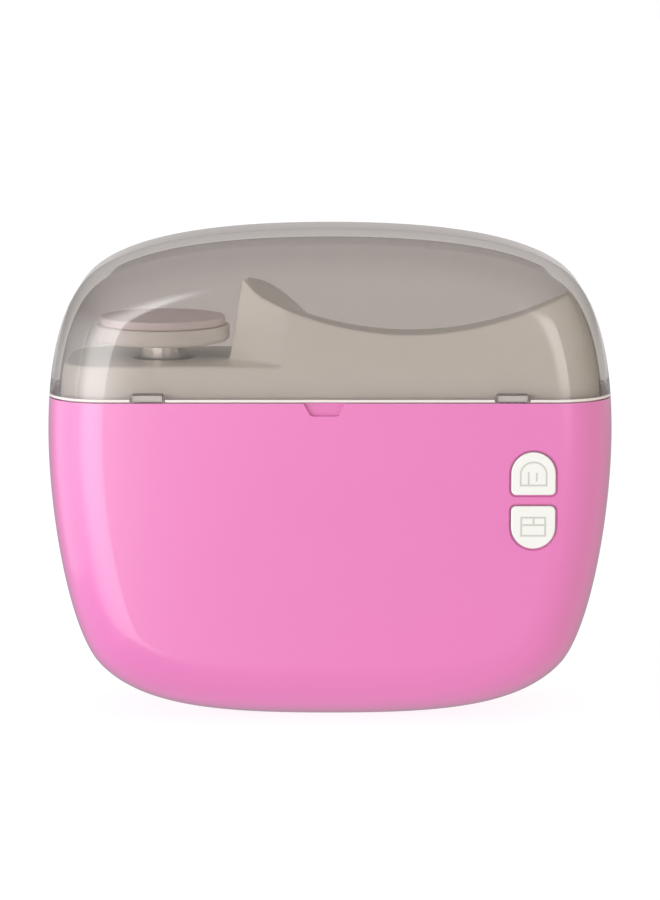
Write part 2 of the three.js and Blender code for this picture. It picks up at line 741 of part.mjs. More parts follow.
function tactSwitch(z) {
  const { x } = BUTTON;
  const body = box(x - 3, x + 3, SWITCH_FRONT_Y + 0.9, BOARD.y0 - 0.05, z - 3, z + 3);
  const plunger = cylinder("y", 1.5, SWITCH_FRONT_Y, SWITCH_FRONT_Y + 1.2, x, z, 12);
  return join(body, plunger);
}

function controlBoard() {
  const { x0, x1, y0, y1, z0, z1 } = BOARD;
  const holes = BOARD_SCREWS.map(({ x, z }) => cylinder("y", 1.1, y0 - 1, y1 + 1, x, z, 10));
  return cut(box(x0, x1, y0, y1, z0, z1), ...holes);
}

function boardScrew(x, z) {
  const head = cylinder("y", 1.9, BOARD.y1 + 0.1, BOARD.y1 + 1.4, x, z, 12);
  const shank = cylinder("y", 0.75, -20, BOARD.y1 + 0.8, x, z, 8);
  return join(head, shank);
}

// ---------------------------------------------------------------- power
function cell() {
  const half = CELL.length / 2;
  const body = cylinder("x", CELL.r, -half, half, 0, CELL.z, 28);
  const nub = cylinder("x", 3, half - 0.5, half + 1, 0, CELL.z, 12);
  return join(body, nub);
}

function cellHolder() {
  const end = CELL.length / 2 + 1.4;
  const plate = 1.2;
  const cradle = box(-end - plate, end + plate, -9.8, 9.8, 5, 10.5);
  const stops = [-1, 1].map((side) => {
    const near = side * end;
    const far = side * (end + plate);
    return box(Math.min(near, far), Math.max(near, far), -7, 7, 5, 20);
  });
  const channel = cylinder("x", CELL.r + 0.2, -end, end, 0, CELL.z, 28);
  return join(cut(cradle, channel), ...stops);
}

function chargePort() {
  const { x, z, width, height } = PORT;
  const halfWidth = width / 2;
  const halfHeight = height / 2;
  const skin = 0.4;
  const y0 = HALF_DEPTH - 7.4;
  const y1 = HALF_DEPTH - 0.2;
  const tube = frontal(
    roundedRectangle(x - halfWidth, x + halfWidth, z - halfHeight, z + halfHeight, 1.5),
    y0,
    y1,
    0,
    3,
  );
  const bore = frontal(
    roundedRectangle(
      x - halfWidth + skin,
      x + halfWidth - skin,
      z - halfHeight + skin,
      z + halfHeight - skin,
      1.1,
    ),
    y0 + 1,
    y1 + 1,
    0,
    3,
  );
  const tongue = box(x - 3.2, x + 3.2, y0 + 0.5, y1 - 1.2, z - 0.35, z + 0.35);
  return join(cut(tube, bore), tongue);
}

function chargeBoard() {
  const top = PORT.z - PORT.height / 2 - 0.1;
  return box(PORT.x - 9, PORT.x + 9, 6, HALF_DEPTH - WALL - 0.6, top - 1.4, top);
}

// ---------------------------------------------------------------- assembly
const group = new THREE.Group();
group.name = "nail_dust_collector";

function add(name, look, manifold) {
  const mesh = manifold.getMesh();
  const geometry = new THREE.BufferGeometry();
  geometry.setAttribute("position", new THREE.BufferAttribute(mesh.vertProperties, 3));
  geometry.setIndex(new THREE.BufferAttribute(mesh.triVerts, 1));
  const node = new THREE.Mesh(geometry.toNonIndexed(), look);
  node.geometry.computeVertexNormals();
  node.name = name;
  group.add(node);
}

add("front_shell", PINK, frontShell());
add("rear_shell", PINK, rearShell());
add("base_pad", RUBBER, basePad());
add("vent_grille", PINK, ventGrille());
CASE_SCREWS.forEach(({ x, z }, i) => add(`case_screw_${i + 1}`, STEEL, caseScrew(x, z)));

add("deck", IVORY, deck());
add("intake_grille", IVORY, intakeGrille());
add("catch_left", GREY, catchTab(-1));
add("catch_right", GREY, catchTab(1));

add("lid", SMOKE, lid());
add("hinge_pin_left", STEEL, hingePin(-1));
add("hinge_pin_right", STEEL, hingePin(1));

const head = buffingHead();
add("spindle", STEEL, head.spindle);
add("disc_base", IVORY, head.base);
add("buffing_pad", PAD, head.pad);
add("motor", STEEL, motor());
add("motor_bracket", BLACK, motorBracket());
add("bracket_screw_left", STEEL, bracketScrew(-1));
add("bracket_screw_right", STEEL, bracketScrew(1));

add("dust_duct", BLACK, dustDuct());
add("dust_drawer", PINK, dustDrawer());
add("filter_panel", FILTER, filterPanel());
add("fan_frame", BLACK, fanFrame());
add("fan_impeller", BLACK, fanImpeller());

add("button_upper", WHITE, button(BUTTON.upperZ, 1));
add("button_lower", WHITE, button(BUTTON.lowerZ, -1));
add("switch_upper", BLACK, tactSwitch(BUTTON.upperZ));
add("switch_lower", BLACK, tactSwitch(BUTTON.lowerZ));
add("control_board", GREEN, controlBoard());
BOARD_SCREWS.forEach(({ x, z }, i) => add(`board_screw_${i + 1}`, STEEL, boardScrew(x, z)));

add("battery_cell", CELL_WRAP, cell());
add("battery_holder", BLACK, cellHolder());
add("charge_port", STEEL, chargePort());
add("charge_board", GREEN, chargeBoard());

export default group;
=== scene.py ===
import math

import bmesh
import bpy
import numpy as np
from mathutils import Matrix, Vector

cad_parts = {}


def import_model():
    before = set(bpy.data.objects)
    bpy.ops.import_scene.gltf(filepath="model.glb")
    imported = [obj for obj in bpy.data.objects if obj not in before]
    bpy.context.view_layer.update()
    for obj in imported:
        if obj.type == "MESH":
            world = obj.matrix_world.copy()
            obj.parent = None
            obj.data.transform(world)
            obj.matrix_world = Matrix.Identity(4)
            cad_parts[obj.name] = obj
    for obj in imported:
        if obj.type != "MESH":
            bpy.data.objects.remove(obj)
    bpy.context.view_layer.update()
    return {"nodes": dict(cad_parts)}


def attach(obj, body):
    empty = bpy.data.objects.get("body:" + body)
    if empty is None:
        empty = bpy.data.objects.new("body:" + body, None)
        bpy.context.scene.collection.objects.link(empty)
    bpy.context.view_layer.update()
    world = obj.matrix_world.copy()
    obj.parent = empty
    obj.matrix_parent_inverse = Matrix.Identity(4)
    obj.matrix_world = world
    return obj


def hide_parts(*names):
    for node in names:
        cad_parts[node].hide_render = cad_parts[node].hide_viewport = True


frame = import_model()
scene = bpy.context.scene
NODES = frame["nodes"]
MM = 0.001

# ------------------------------------------------------------------ dimensions shared with the CAD
HALF_WIDTH = 77.5
WIDEST_Z = 78.0
TOP_Z = 135.2
BOTTOM_Z = 0.3
HALF_DEPTH = 26.0
FACE = -HALF_DEPTH  # the flat front
EDGE_ROUND = 16.0
WALL = 2.4
PARTING = 0.15  # from the middle plane to each half of the case
SEAM_Z = 89.4
SEAM_GAP = 0.4
CASE_TOP = SEAM_Z - SEAM_GAP / 2
LID_LOW = SEAM_Z + SEAM_GAP / 2
OUTSIDE = 1.0  # how far a cutting tool reaches beyond what it cuts

# Lid and hinge; a knuckle is (x0, x1).
CROWN_Z = 131.0  # top of the lid's hollow
HINGE_Y = 29.0
KNUCKLE_R, PIN_BORE = 2.6, 1.3
CASE_KNUCKLES = [(20.3, 29.0), (-29.0, -20.3)]
LID_KNUCKLES = [(8.0, 19.7), (-19.7, -8.0)]
SWING_CLEARANCE = 0.9
LIP_HEIGHT = 0.65
CATCH_X, CATCH_HALF, CATCH_HIGH = 49.4, 4.5, 2.1

# Case; screws are (x, z), and pilots and seats are (radius, y0, y1).
CASE_SCREWS = [(-66, 76), (36, 79), (-44, 21), (44, 21)]
BOARD_SCREWS = [(44.9, 62.5), (65.3, 62.5)]
BOARD_Y = -16.0
FRONT_POST_R, REAR_POST_R, BOARD_POST_R = 3.0, 4.2, 2.2
POST_ROOT = 0.8  # how far a post reaches into the wall
CASE_PILOT = (1.4, -13.0, 1.0)
BOARD_PILOT = (0.9, -21.0, BOARD_Y)
SCREW_SEAT = (3.1, 22.2, HALF_DEPTH + 1)
SCREW_WAY = (1.6, -0.5, 22.3)
BOARD_GAP = 0.1
NOTCH_DROP, NOTCH_DEPTH = 3.7, 1.5
DOOR = (-26.0, 15.0, 25.0, 62.0)  # x0, x1, z0, z1
SHELF_SIDE, SHELF_FRONT_Y = 1.0, 1.0
SHELF_UNDER, SHELF_OVER = 0.7, 0.6  # from the door's lower edge
VENT = (38.0, 47.5, 19.0)  # x, z, radius
VENT_GAP = 0.3
PORT = (-48.0, 34.0, 9.0, 3.2)  # x, z, width, height
PORT_GAP, PORT_CORNER = 0.4, 1.9
FOOT_X, FOOT_Y, FOOT_TOP = 24.0, 8.0, 1.5
FOOT_GAP = 0.3

# Keys; KEY_Z holds each key's middle and the way that its arched end points.
KEY_X = 55.2
KEY_Z = {"upper": (70.1, 1), "lower": (55.3, -1)}
KEY_WIDTH, KEY_HEIGHT, KEY_CORNER = 12.1, 11.8, 1.4
KEY_PROUD = 0.5
KEY_GAP = 0.12
KEY_GROOVE, KEY_GROOVE_DEPTH = 0.6, 0.8
KEY_FLANGE_Y, KEY_FLANGE_GROW = FACE + WALL + 0.7, 0.85
KEY_STEM_END_Y, KEY_STEM_R = -19.8, 1.8

# Deck, its block and the hand saddle; a plan point is (x, y).
DECK_INSET = 3.0
DECK_SKIN = 2.0
DECK_ROOT_Z = 74.0  # where the solids that shape the deck begin, below all of it
BELOW_Z, ABOVE_Z = 60.0, 126.0  # ends of the tools that cut right through the deck
DECK_FLOOR_Z = 84.0
DECK_TOP_Z = 98.8
SADDLE_X, SADDLE_LOW, SADDLE_VALLEY, SADDLE_RIDGE, SADDLE_BOW = 22.0, 107.2, 100.0, 118.4, 0.0056
SADDLE_FRONT_Y, SADDLE_BACK_Y = -8.0, 14.0
HORN_X, HORN_BEND = -18.0, 0.07
RIDGE_X, VALLEY_X = -24.0, 2.5
SADDLE_SHEET = (-34.0, 82.0, -32.0, 32.0)  # x0, x1, y0, y1
BLOCK_FOOT = {"z": 99.1, "front": (-4.1, -30), "turn": (-27.7, -7.5), "waist": (-25.9, 1)}
BLOCK_TOP = {"z": 121, "front": (7.8, -27.2), "turn": (-24, -7), "waist": (-23.4, 1)}
GRILLE = (22.0, 9.0, 30.0, 15.0)  # x, y, width, depth
GRILLE_SLOT_WIDTH, GRILLE_SLOT_DEPTH = 2.4, 11.0
GRILLE_GAP, GRILLE_FLANGE = 0.3, 2.0
GRILLE_FLANGE_DROP, GRILLE_UNDER_DROP = 2.2, 3.4
WIDE, DEEP = 90.0, 34.0  # half sizes of a box that covers the whole plan

# Buffing head; profiles are (radius, z).
DISC_X = -46.3
STEM_HOLE_R = 8.3
BRACKET_BOSS_X = 15.0  # from the disc's axis
BRACKET_BOSS_R, BRACKET_PILOT_R, BRACKET_BOSS_LOW = 3.0, 1.2, 88.3
STEM_PROFILE = [(0, 85.9), (3, 85.9), (3, 89.4), (6.3, 89.4), (6.3, 102.95), (0, 102.95)]
PLATE_PROFILE = [(0, 103), (15.5, 103), (17.9, 103.5), (18.5, 104.4), (18.5, 107.8), (0, 107.8)]
PAD_PROFILE = [(0, 107.9), (17.3, 107.9), (17.3, 110.2), (15.9, 110.2), (0, 110.2)]
PAD_RIM_Z = 109.75

# Widths of the rounded edges.
FRONT_EDGE, GROOVE_EDGE, REAR_EDGE, LID_EDGE = 0.45, 0.12, 0.4, 0.3
GRILLE_EDGE, HEAD_EDGE, PAD_EDGE = 0.25, 0.4, 0.5
KEY_EDGE, FOOT_EDGE, INNER_EDGE = 0.7, 0.4, 0.2

# Right half of the outline from top to bottom, as cubic Bezier control points (x, z).
OUTLINE = [
    [(0, TOP_Z), (28.4, TOP_Z), (52, 132.3), (63.6, 124.3)],
    [(63.6, 124.3), (76.7, 115.4), (HALF_WIDTH, 88.6), (HALF_WIDTH, WIDEST_Z)],
    [(HALF_WIDTH, WIDEST_Z), (HALF_WIDTH, 56.6), (72.4, 23.5), (64, 14.4)],
    [(64, 14.4), (52.5, 1.9), (30.5, BOTTOM_Z), (0, BOTTOM_Z)],
]


# ------------------------------------------------------------------ small maths
def mix(a, b, t):
    return a + (b - a) * t


def smooth(value, low, high):
    t = min(max((value - low) / (high - low), 0.0), 1.0)
    return t * t * (3 - 2 * t)


def bezier(points, steps):
    """Points of a cubic Bezier, without its last one."""
    p = np.array(points, float)
    t = np.linspace(0, 1, steps, endpoint=False)[:, None]
    return (
        (1 - t) ** 3 * p[0]
        + 3 * (1 - t) ** 2 * t * p[1]
        + 3 * (1 - t) * t**2 * p[2]
        + t**3 * p[3]
    )


def resample(points, count):
    """The same line with evenly spaced points."""
    gaps = np.linalg.norm(np.diff(points, axis=0), axis=1)
    along = np.concatenate([[0], np.cumsum(gaps)])
    wanted = np.linspace(0, along[-1], count)
    return np.stack([np.interp(wanted, along, points[:, k]) for k in range(2)], axis=1)


def arc(cx, cz, radius, start, end, steps):
    """Points along an arc, both ends included; start and end are in quarter turns."""
    angles = [math.pi / 2 * (start + (end - start) * i / steps) for i in range(steps + 1)]
    return [(cx + radius * math.cos(angle), cz + radius * math.sin(angle)) for angle in angles]


def rounded_rectangle(x0, x1, z0, z1, r, steps=6):
    corners = [(x1 - r, z1 - r), (x0 + r, z1 - r), (x0 + r, z0 + r), (x1 - r, z0 + r)]
    points = []
    for quarter, (cx, cz) in enumerate(corners):
        points += arc(cx, cz, r, quarter, quarter + 1, steps)
    return points


# ------------------------------------------------------------------ the pillow form
def full_outline():
    """The closed outline from the top, down the right side and up the left, densely sampled."""
    right = np.concatenate([bezier(segment, 160) for segment in OUTLINE])
    bottom = np.array([[0.0, BOTTOM_Z]])
    left = right[1:][::-1] * [-1, 1]
    return np.concatenate([right, bottom, left])


BASE_OUTLINE = full_outline()


def offset_outline(inset):
    """The outline drawn in by inset along its own normals."""
    ahead = np.roll(BASE_OUTLINE, -1, axis=0)
    behind = np.roll(BASE_OUTLINE, 1, axis=0)
    tangent = ahead - behind
    tangent /= np.linalg.norm(tangent, axis=1)[:, None]
    inward = np.stack([tangent[:, 1], -tangent[:, 0]], axis=1)
    return BASE_OUTLINE + inward * inset


def open_outline(inset, z_cut, upper, count):
    """The part of the drawn-in outline above or below a level, from its left to its right end."""
    points = offset_outline(inset)
    quarter = len(points) // 2
    if upper:
        points = np.roll(points, quarter, axis=0)
    keep = points[:, 1] >= z_cut if upper else points[:, 1] <= z_cut
    first = int(np.argmax(keep))
    last = len(keep) - 1 - int(np.argmax(keep[::-1]))

    def crossing(a, b):
        t = (z_cut - a[1]) / (b[1] - a[1])
        return a + (b - a) * t

    start = crossing(points[first - 1], points[first])
    end = crossing(points[last], points[last + 1])
    line = np.concatenate([[start], points[first : last + 1], [end]])
    if line[0][0] > line[-1][0]:
        line = line[::-1]
    return resample(line, count)


def edge_profile(inset, steps, side):
    """(inset, y) pairs over one rounded edge, from the flat face to the side wall."""
    radius = EDGE_ROUND - inset
    flat = HALF_DEPTH - EDGE_ROUND
    rows = []
    for i in range(steps + 1):
        angle = math.pi / 2 * i / steps
        rows.append((EDGE_ROUND - radius * math.sin(angle), side * (flat + radius * math.cos(angle))))
    return rows


def press_crown(z):
    """The cavity's height once its crown is pressed down to leave the lid thicker on top."""
    factor = (CROWN_Z - SEAM_Z) / (TOP_Z - WALL - SEAM_Z)
    return SEAM_Z + (z - SEAM_Z) * factor


def pillow_rows(profile, z_cut, upper, count, pressed=False):
    """Rows of points, one row for each (inset, y) of the profile."""
    rows = []
    for inset, y in profile:
        line = open_outline(inset, z_cut, upper, count)
        z = np.array([press_crown(v) for v in line[:, 1]]) if pressed else line[:, 1]
        rows.append(np.stack([line[:, 0], np.full(count, y), z], axis=1))
    return np.array(rows)


# ------------------------------------------------------------------ mesh helpers
def new_object(name, verts, faces, fix_normals=True):
    mesh = bpy.data.meshes.new(name)
    mesh.from_pydata([tuple(float(c) * MM for c in v) for v in verts], [], faces)
    if fix_normals:
        bm = bmesh.new()
        bm.from_mesh(mesh)
        bmesh.ops.recalc_face_normals(bm, faces=bm.faces)
        bm.to_mesh(mesh)
        bm.free()
    obj = bpy.data.objects.new(name, mesh)
    scene.collection.objects.link(obj)
    return obj


def thin_shell(name, outer, inner, front_capped, back_capped):
    """A wall between two sheets of rows, closed along its rims; a capped end is a flat face."""
    rows, count = outer.shape[:2]
    verts = np.concatenate([outer.reshape(-1, 3), inner.reshape(-1, 3)])

    def at(sheet, j, i):
        return sheet * rows * count + j * count + i

    faces = []
    for sheet in (0, 1):
        for j in range(rows - 1):
            for i in range(count - 1):
                faces.append(
                    (at(sheet, j, i), at(sheet, j + 1, i), at(sheet, j + 1, i + 1), at(sheet, j, i + 1))
                )
    for j in range(rows - 1):
        for i in (0, count - 1):
            faces.append((at(0, j, i), at(0, j + 1, i), at(1, j + 1, i), at(1, j, i)))
    for j, capped in ((0, front_capped), (rows - 1, back_capped)):
        if capped:
            for sheet in (0, 1):
                faces.append(tuple(at(sheet, j, i) for i in range(count)))
            last = count - 1
            faces.append((at(0, j, 0), at(0, j, last), at(1, j, last), at(1, j, 0)))
        else:
            for i in range(count - 1):
                faces.append((at(0, j, i), at(0, j, i + 1), at(1, j, i + 1), at(1, j, i)))
    return new_object(name, verts, faces)


def filled(name, rows):
    """The closed body whose skin is a sheet of rows, flat between each row's two ends."""
    count = rows.shape[1]
    faces = []
    for j in range(len(rows) - 1):
        for i in range(count - 1):
            a = j * count + i
            faces.append((a, a + count, a + count + 1, a + 1))
        left, right = j * count, j * count + count - 1
        faces.append((left, right, right + count, left + count))
    faces.append(tuple(range(count)))
    faces.append(tuple((len(rows) - 1) * count + i for i in range(count)))
    return new_object(name, rows.reshape(-1, 3), faces)


def prism(name, outline, y0, y1):
    """A frontal outline of (x, z) points, extruded from y0 to y1."""
    n = len(outline)
    verts = [(x, y0, z) for x, z in outline] + [(x, y1, z) for x, z in outline]
    faces = [tuple(range(n)), tuple(range(n, 2 * n))]
    for i in range(n):
        k = (i + 1) % n
        faces.append((i, k, n + k, n + i))
    return new_object(name, verts, faces)


def block(name, x0, x1, y0, y1, z0, z1):
    return prism(name, [(x0, z0), (x1, z0), (x1, z1), (x0, z1)], y0, y1)


def cylinder(name, axis, radius, a, b, p, q, segments=32):
    """A cylinder along an axis from a to b, centred on the two other coordinates."""
    ring = [2 * math.pi * k / segments for k in range(segments)]
    verts = []
    for end in (a, b):
        for angle in ring:
            u = p + radius * math.cos(angle)
            v = q + radius * math.sin(angle)
            verts.append({"x": (end, u, v), "y": (u, end, v), "z": (u, v, end)}[axis])
    n = segments
    faces = [tuple(range(n)), tuple(range(n, 2 * n))]
    faces += [(k, (k + 1) % n, n + (k + 1) % n, n + k) for k in range(n)]
    return new_object(name, verts, faces)


def along_y(name, radius, y0, y1, places, segments=32):
    """Cylinders that point to the back, one at each (x, z) place."""
    return [cylinder(name, "y", radius, y0, y1, x, z, segments) for x, z in places]


def turned(name, profile, x, y, segments=96):
    """A body of revolution about a vertical axis; the profile is (radius, z), axis to axis."""
    inner = [p for p in profile if p[0] > 0]
    verts = []
    for r, z in inner:
        for k in range(segments):
            angle = 2 * math.pi * k / segments
            verts.append((x + r * math.cos(angle), y + r * math.sin(angle), z))
    faces = []
    for j in range(len(inner) - 1):
        for k in range(segments):
            m = (k + 1) % segments
            low, high = j * segments, (j + 1) * segments
            faces.append((low + k, low + m, high + m, high + k))
    last = (len(inner) - 1) * segments
    faces.append(tuple(range(segments)))
    faces.append(tuple(last + k for k in range(segments)))
    return new_object(name, verts, faces)


def rounded_profile(points, radius, steps=4):
    """A profile whose inner corners are rounded by quadratic arcs."""
    out = [points[0]]
    for before, here, after in zip(points, points[1:], points[2:]):
        a = Vector(before) - Vector(here)
        b = Vector(after) - Vector(here)
        cut = min(radius, a.length * 0.45, b.length * 0.45)
        p = Vector(here) + a.normalized() * cut
        q = Vector(here) + b.normalized() * cut
        for i in range(steps + 1):
            t = i / steps
            c = p * (1 - t) ** 2 + Vector(here) * 2 * t * (1 - t) + q * t**2
            out.append((c.x, c.y))
    out.append(points[-1])
    return out


def apply_modifiers(obj):
    """Turns the object's modifiers into plain mesh."""
    graph = bpy.context.evaluated_depsgraph_get()
    mesh = bpy.data.meshes.new_from_object(obj.evaluated_get(graph))
    obj.modifiers.clear()
    obj.data = mesh


def boolean(obj, tool, operation):
    """Cuts, joins or intersects the object with a tool, which is then removed."""
    modifier = obj.modifiers.new("cut", "BOOLEAN")
    modifier.operation = operation
    modifier.solver = "EXACT"
    modifier.object = tool
    apply_modifiers(obj)
    bpy.data.objects.remove(tool)


def gather(name, objects):
    """Several separate closed meshes as one object."""
    bm = bmesh.new()
    for obj in objects:
        bm.from_mesh(obj.data)
        bpy.data.objects.remove(obj)
    mesh = bpy.data.meshes.new(name)
    bm.to_mesh(mesh)
    bm.free()
    whole = bpy.data.objects.new(name, mesh)
    scene.collection.objects.link(whole)
    return whole


def joined(first, others):
    """One body from several that may overlap."""
    for other in others:
        boolean(first, other, "UNION")
    return first


def soften(obj, width, segments=3, angle=35):
    """Rounds the object's sharp edges and shades it smoothly."""
    bevel = obj.modifiers.new("edge", "BEVEL")
    bevel.width = width * MM
    bevel.segments = segments
    bevel.limit_method = "ANGLE"
    bevel.angle_limit = math.radians(angle)
    bevel.use_clamp_overlap = True
    bevel.harden_normals = True
    shade(obj, angle)


def shade(obj, angle=35):
    for polygon in obj.data.polygons:
        polygon.use_smooth = True
    obj.data.set_sharp_from_angle(angle=math.radians(angle))
    weighted = obj.modifiers.new("normals", "WEIGHTED_NORMAL")
    weighted.keep_sharp = True


def place(obj, body, slot, *nodes):
    """Puts a finished piece on its body, in place of CAD nodes."""
    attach(obj, body)
    if nodes:
        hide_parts(*nodes)


# ------------------------------------------------------------------ materials
# The Mix node keeps one set of sockets for each kind of data; these are its colour ones.
COLOUR_A, COLOUR_B, COLOUR_RESULT = 6, 7, 2


def principled(name):
    material = bpy.data.materials.new(name)
    material.use_nodes = True
    tree = material.node_tree
    shader = tree.nodes["Principled BSDF"]
    return material, tree, shader


def linear(r, g, b):
    """An sRGB colour given as 0-255, in the linear values that shaders take."""
    def one(v):
        v /= 255
        return v / 12.92 if v <= 0.04045 else ((v + 0.055) / 1.055) ** 2.4
    return (one(r), one(g), one(b), 1.0)


def noise(tree, scale, detail=3.0):
    """Object-space noise; scale is in features per metre."""
    position = tree.nodes.new("ShaderNodeTexCoord")
    node = tree.nodes.new("ShaderNodeTexNoise")
    node.inputs["Scale"].default_value = scale
    node.inputs["Detail"].default_value = detail
    tree.links.new(position.outputs["Object"], node.inputs["Vector"])
    return node


def maths(tree, operation, *operands):
    """The result of a maths node on numbers and sockets."""
    node = tree.nodes.new("ShaderNodeMath")
    node.operation = operation
    for socket, operand in zip(node.inputs, operands):
        if isinstance(operand, (int, float)):
            socket.default_value = operand
        else:
            tree.links.new(operand, socket)
    return node.outputs["Value"]


def spread(tree, source, low, high):
    """Maps a 0-1 signal onto low-high."""
    node = tree.nodes.new("ShaderNodeMapRange")
    node.inputs["To Min"].default_value = low
    node.inputs["To Max"].default_value = high
    tree.links.new(source, node.inputs["Value"])
    return node.outputs["Result"]


def stepped(tree, source, low, high, below, above):
    """A smooth step of the source, from one value below low to another above high."""
    node = tree.nodes.new("ShaderNodeMapRange")
    node.interpolation_type = "SMOOTHSTEP"
    node.inputs["From Min"].default_value = low
    node.inputs["From Max"].default_value = high
    node.inputs["To Min"].default_value = below
    node.inputs["To Max"].default_value = above
    tree.links.new(source, node.inputs["Value"])
    return node.outputs["Result"]


def split_axes(tree, source):
    """The X, Y and Z outputs of a vector socket."""
    node = tree.nodes.new("ShaderNodeSeparateXYZ")
    tree.links.new(source, node.inputs["Vector"])
    return node.outputs["X"], node.outputs["Y"], node.outputs["Z"]


def tint(tree, shader, colour, shift, scale):
    """Colours the surface with a slow, faint variation between two shades."""
    ramp = tree.nodes.new("ShaderNodeValToRGB")
    dark, light = ramp.color_ramp.elements
    dark.position, light.position = 0.3, 0.7
    dark.color = [c * (1 - shift) for c in colour[:3]] + [1]
    light.color = [min(c * (1 + shift), 1) for c in colour[:3]] + [1]
    tree.links.new(noise(tree, scale).outputs["Fac"], ramp.inputs["Fac"])
    tree.links.new(ramp.outputs["Color"], shader.inputs["Base Color"])


def grain(tree, shader, scale, strength, depth):
    """Fine surface relief; depth is in millimetres."""
    bump = tree.nodes.new("ShaderNodeBump")
    bump.inputs["Strength"].default_value = strength
    bump.inputs["Distance"].default_value = depth * MM
    tree.links.new(noise(tree, scale, 2.0).outputs["Fac"], bump.inputs["Height"])
    tree.links.new(bump.outputs["Normal"], shader.inputs["Normal"])


def moulded(name, colour, rough, relief=0.012, shift=0.012, coat=0.0):
    """Injection-moulded plastic with a faint texture, uneven gloss and slight colour drift."""
    material, tree, shader = principled(name)
    tint(tree, shader, colour, shift, 22)
    tree.links.new(
        spread(tree, noise(tree, 160).outputs["Fac"], rough * 0.88, rough * 1.12),
        shader.inputs["Roughness"],
    )
    grain(tree, shader, 2600, 0.35, relief)
    shader.inputs["Coat Weight"].default_value = coat
    shader.inputs["Coat Roughness"].default_value = 0.12
    return material


def metal(name, colour, rough):
    material, tree, shader = principled(name)
    tint(tree, shader, colour, 0.04, 60)
    shader.inputs["Metallic"].default_value = 1.0
    tree.links.new(
        spread(tree, noise(tree, 700).outputs["Fac"], rough * 0.8, rough * 1.25),
        shader.inputs["Roughness"],
    )
    grain(tree, shader, 3000, 0.2, 0.006)
    return material


# The lid: its tint seen square on and edge-on, how soon the edge begins, the colour that its wall
# takes out of the light, and its gloss. The refraction is next to none, so that the level crown
# stays clear instead of mirroring the dark inside of its own wall.
SMOKE_TINT = (0.63, 0.59, 0.572, 1.0)
SMOKE_EDGE = (0.24, 0.21, 0.20, 1.0)
SMOKE_LINE_POWER = 9
SMOKE_BODY = (0.36, 0.30, 0.27, 1.0)
SMOKE_DENSITY = 6.0
SMOKE_IOR = 1.002
GLOSS_IOR = 1.85
GLOSS_ROUGH = 0.07


def edge_on(tree):
    """0 where the lid is seen square on, towards 1 at its sides and along its outline."""
    weight = tree.nodes.new("ShaderNodeLayerWeight")
    weight.inputs["Blend"].default_value = 0.5
    facing = weight.outputs["Facing"]
    surface = tree.nodes.new("ShaderNodeNewGeometry")
    _, _, rise = split_axes(tree, surface.outputs["Normal"])
    upright = maths(tree, "SUBTRACT", 1.0, maths(tree, "MULTIPLY", rise, rise))
    sides = maths(tree, "MULTIPLY", facing, upright)
    outline = maths(tree, "POWER", facing, SMOKE_LINE_POWER)
    return maths(tree, "MAXIMUM", sides, outline)


def clear_to_shadows(tree, shader):
    """Lets light through to what is inside: shadow rays meet a plain transparent surface."""
    clear = tree.nodes.new("ShaderNodeBsdfTransparent")
    path = tree.nodes.new("ShaderNodeLightPath")
    blend = tree.nodes.new("ShaderNodeMixShader")
    tree.links.new(path.outputs["Is Shadow Ray"], blend.inputs["Fac"])
    tree.links.new(shader.outputs["BSDF"], blend.inputs[1])
    tree.links.new(clear.outputs["BSDF"], blend.inputs[2])
    tree.links.new(blend.outputs["Shader"], tree.nodes["Material Output"].inputs["Surface"])


def smoked_clear(name):
    """Smoke-brown clear plastic: a real wall with tinted faces and a body that takes up light."""
    material, tree, shader = principled(name)
    colours = tree.nodes.new("ShaderNodeMix")
    colours.data_type = "RGBA"
    colours.inputs[COLOUR_A].default_value = SMOKE_TINT
    colours.inputs[COLOUR_B].default_value = SMOKE_EDGE
    tree.links.new(edge_on(tree), colours.inputs["Factor"])
    tree.links.new(colours.outputs[COLOUR_RESULT], shader.inputs["Base Color"])
    shader.inputs["Transmission Weight"].default_value = 1.0
    shader.inputs["IOR"].default_value = SMOKE_IOR
    shader.inputs["Coat IOR"].default_value = GLOSS_IOR
    shader.inputs["Coat Roughness"].default_value = GLOSS_ROUGH
    gloss = tree.nodes.new("ShaderNodeAttribute")
    gloss.attribute_name = "outside"
    tree.links.new(gloss.outputs["Fac"], shader.inputs["Coat Weight"])
    tree.links.new(
        spread(tree, noise(tree, 90).outputs["Fac"], 0.01, 0.03), shader.inputs["Roughness"]
    )
    body = tree.nodes.new("ShaderNodeVolumeAbsorption")
    body.inputs["Color"].default_value = SMOKE_BODY
    body.inputs["Density"].default_value = SMOKE_DENSITY
    tree.links.new(body.outputs["Volume"], tree.nodes["Material Output"].inputs["Volume"])
    clear_to_shadows(tree, shader)
    return material


PINK = moulded("pink_moulding", linear(227, 118, 186), 0.32, coat=1.0)
IVORY = moulded("ivory_moulding", linear(251, 249, 242), 0.3)
PLATE = moulded("disc_moulding", linear(232, 227, 222), 0.45)
SMOKE = smoked_clear("smoke_lid")
# The lid's lower lip is an opaque pale band, a painted highlight for the light that the clear lid's
# edge catches at the seam.
PAINTED_LIP_HIGHLIGHT = moulded("lid_lip_painted_highlight", linear(232, 223, 221), 0.3)
# The cut faces of the lid's catch windows are an opaque dark brown: painted shade for the dark line
# that the clear wall's cut edge shows.
WINDOW_EDGE_PAINTED_SHADE = moulded("lid_window_edge_painted_shade", linear(96, 84, 80), 0.4)
WHITE = moulded("white_key", linear(238, 237, 234), 0.36)
MARK = moulded("key_mark", linear(200, 202, 194), 0.5)
CATCH = moulded("catch_grey", linear(184, 176, 172), 0.45)
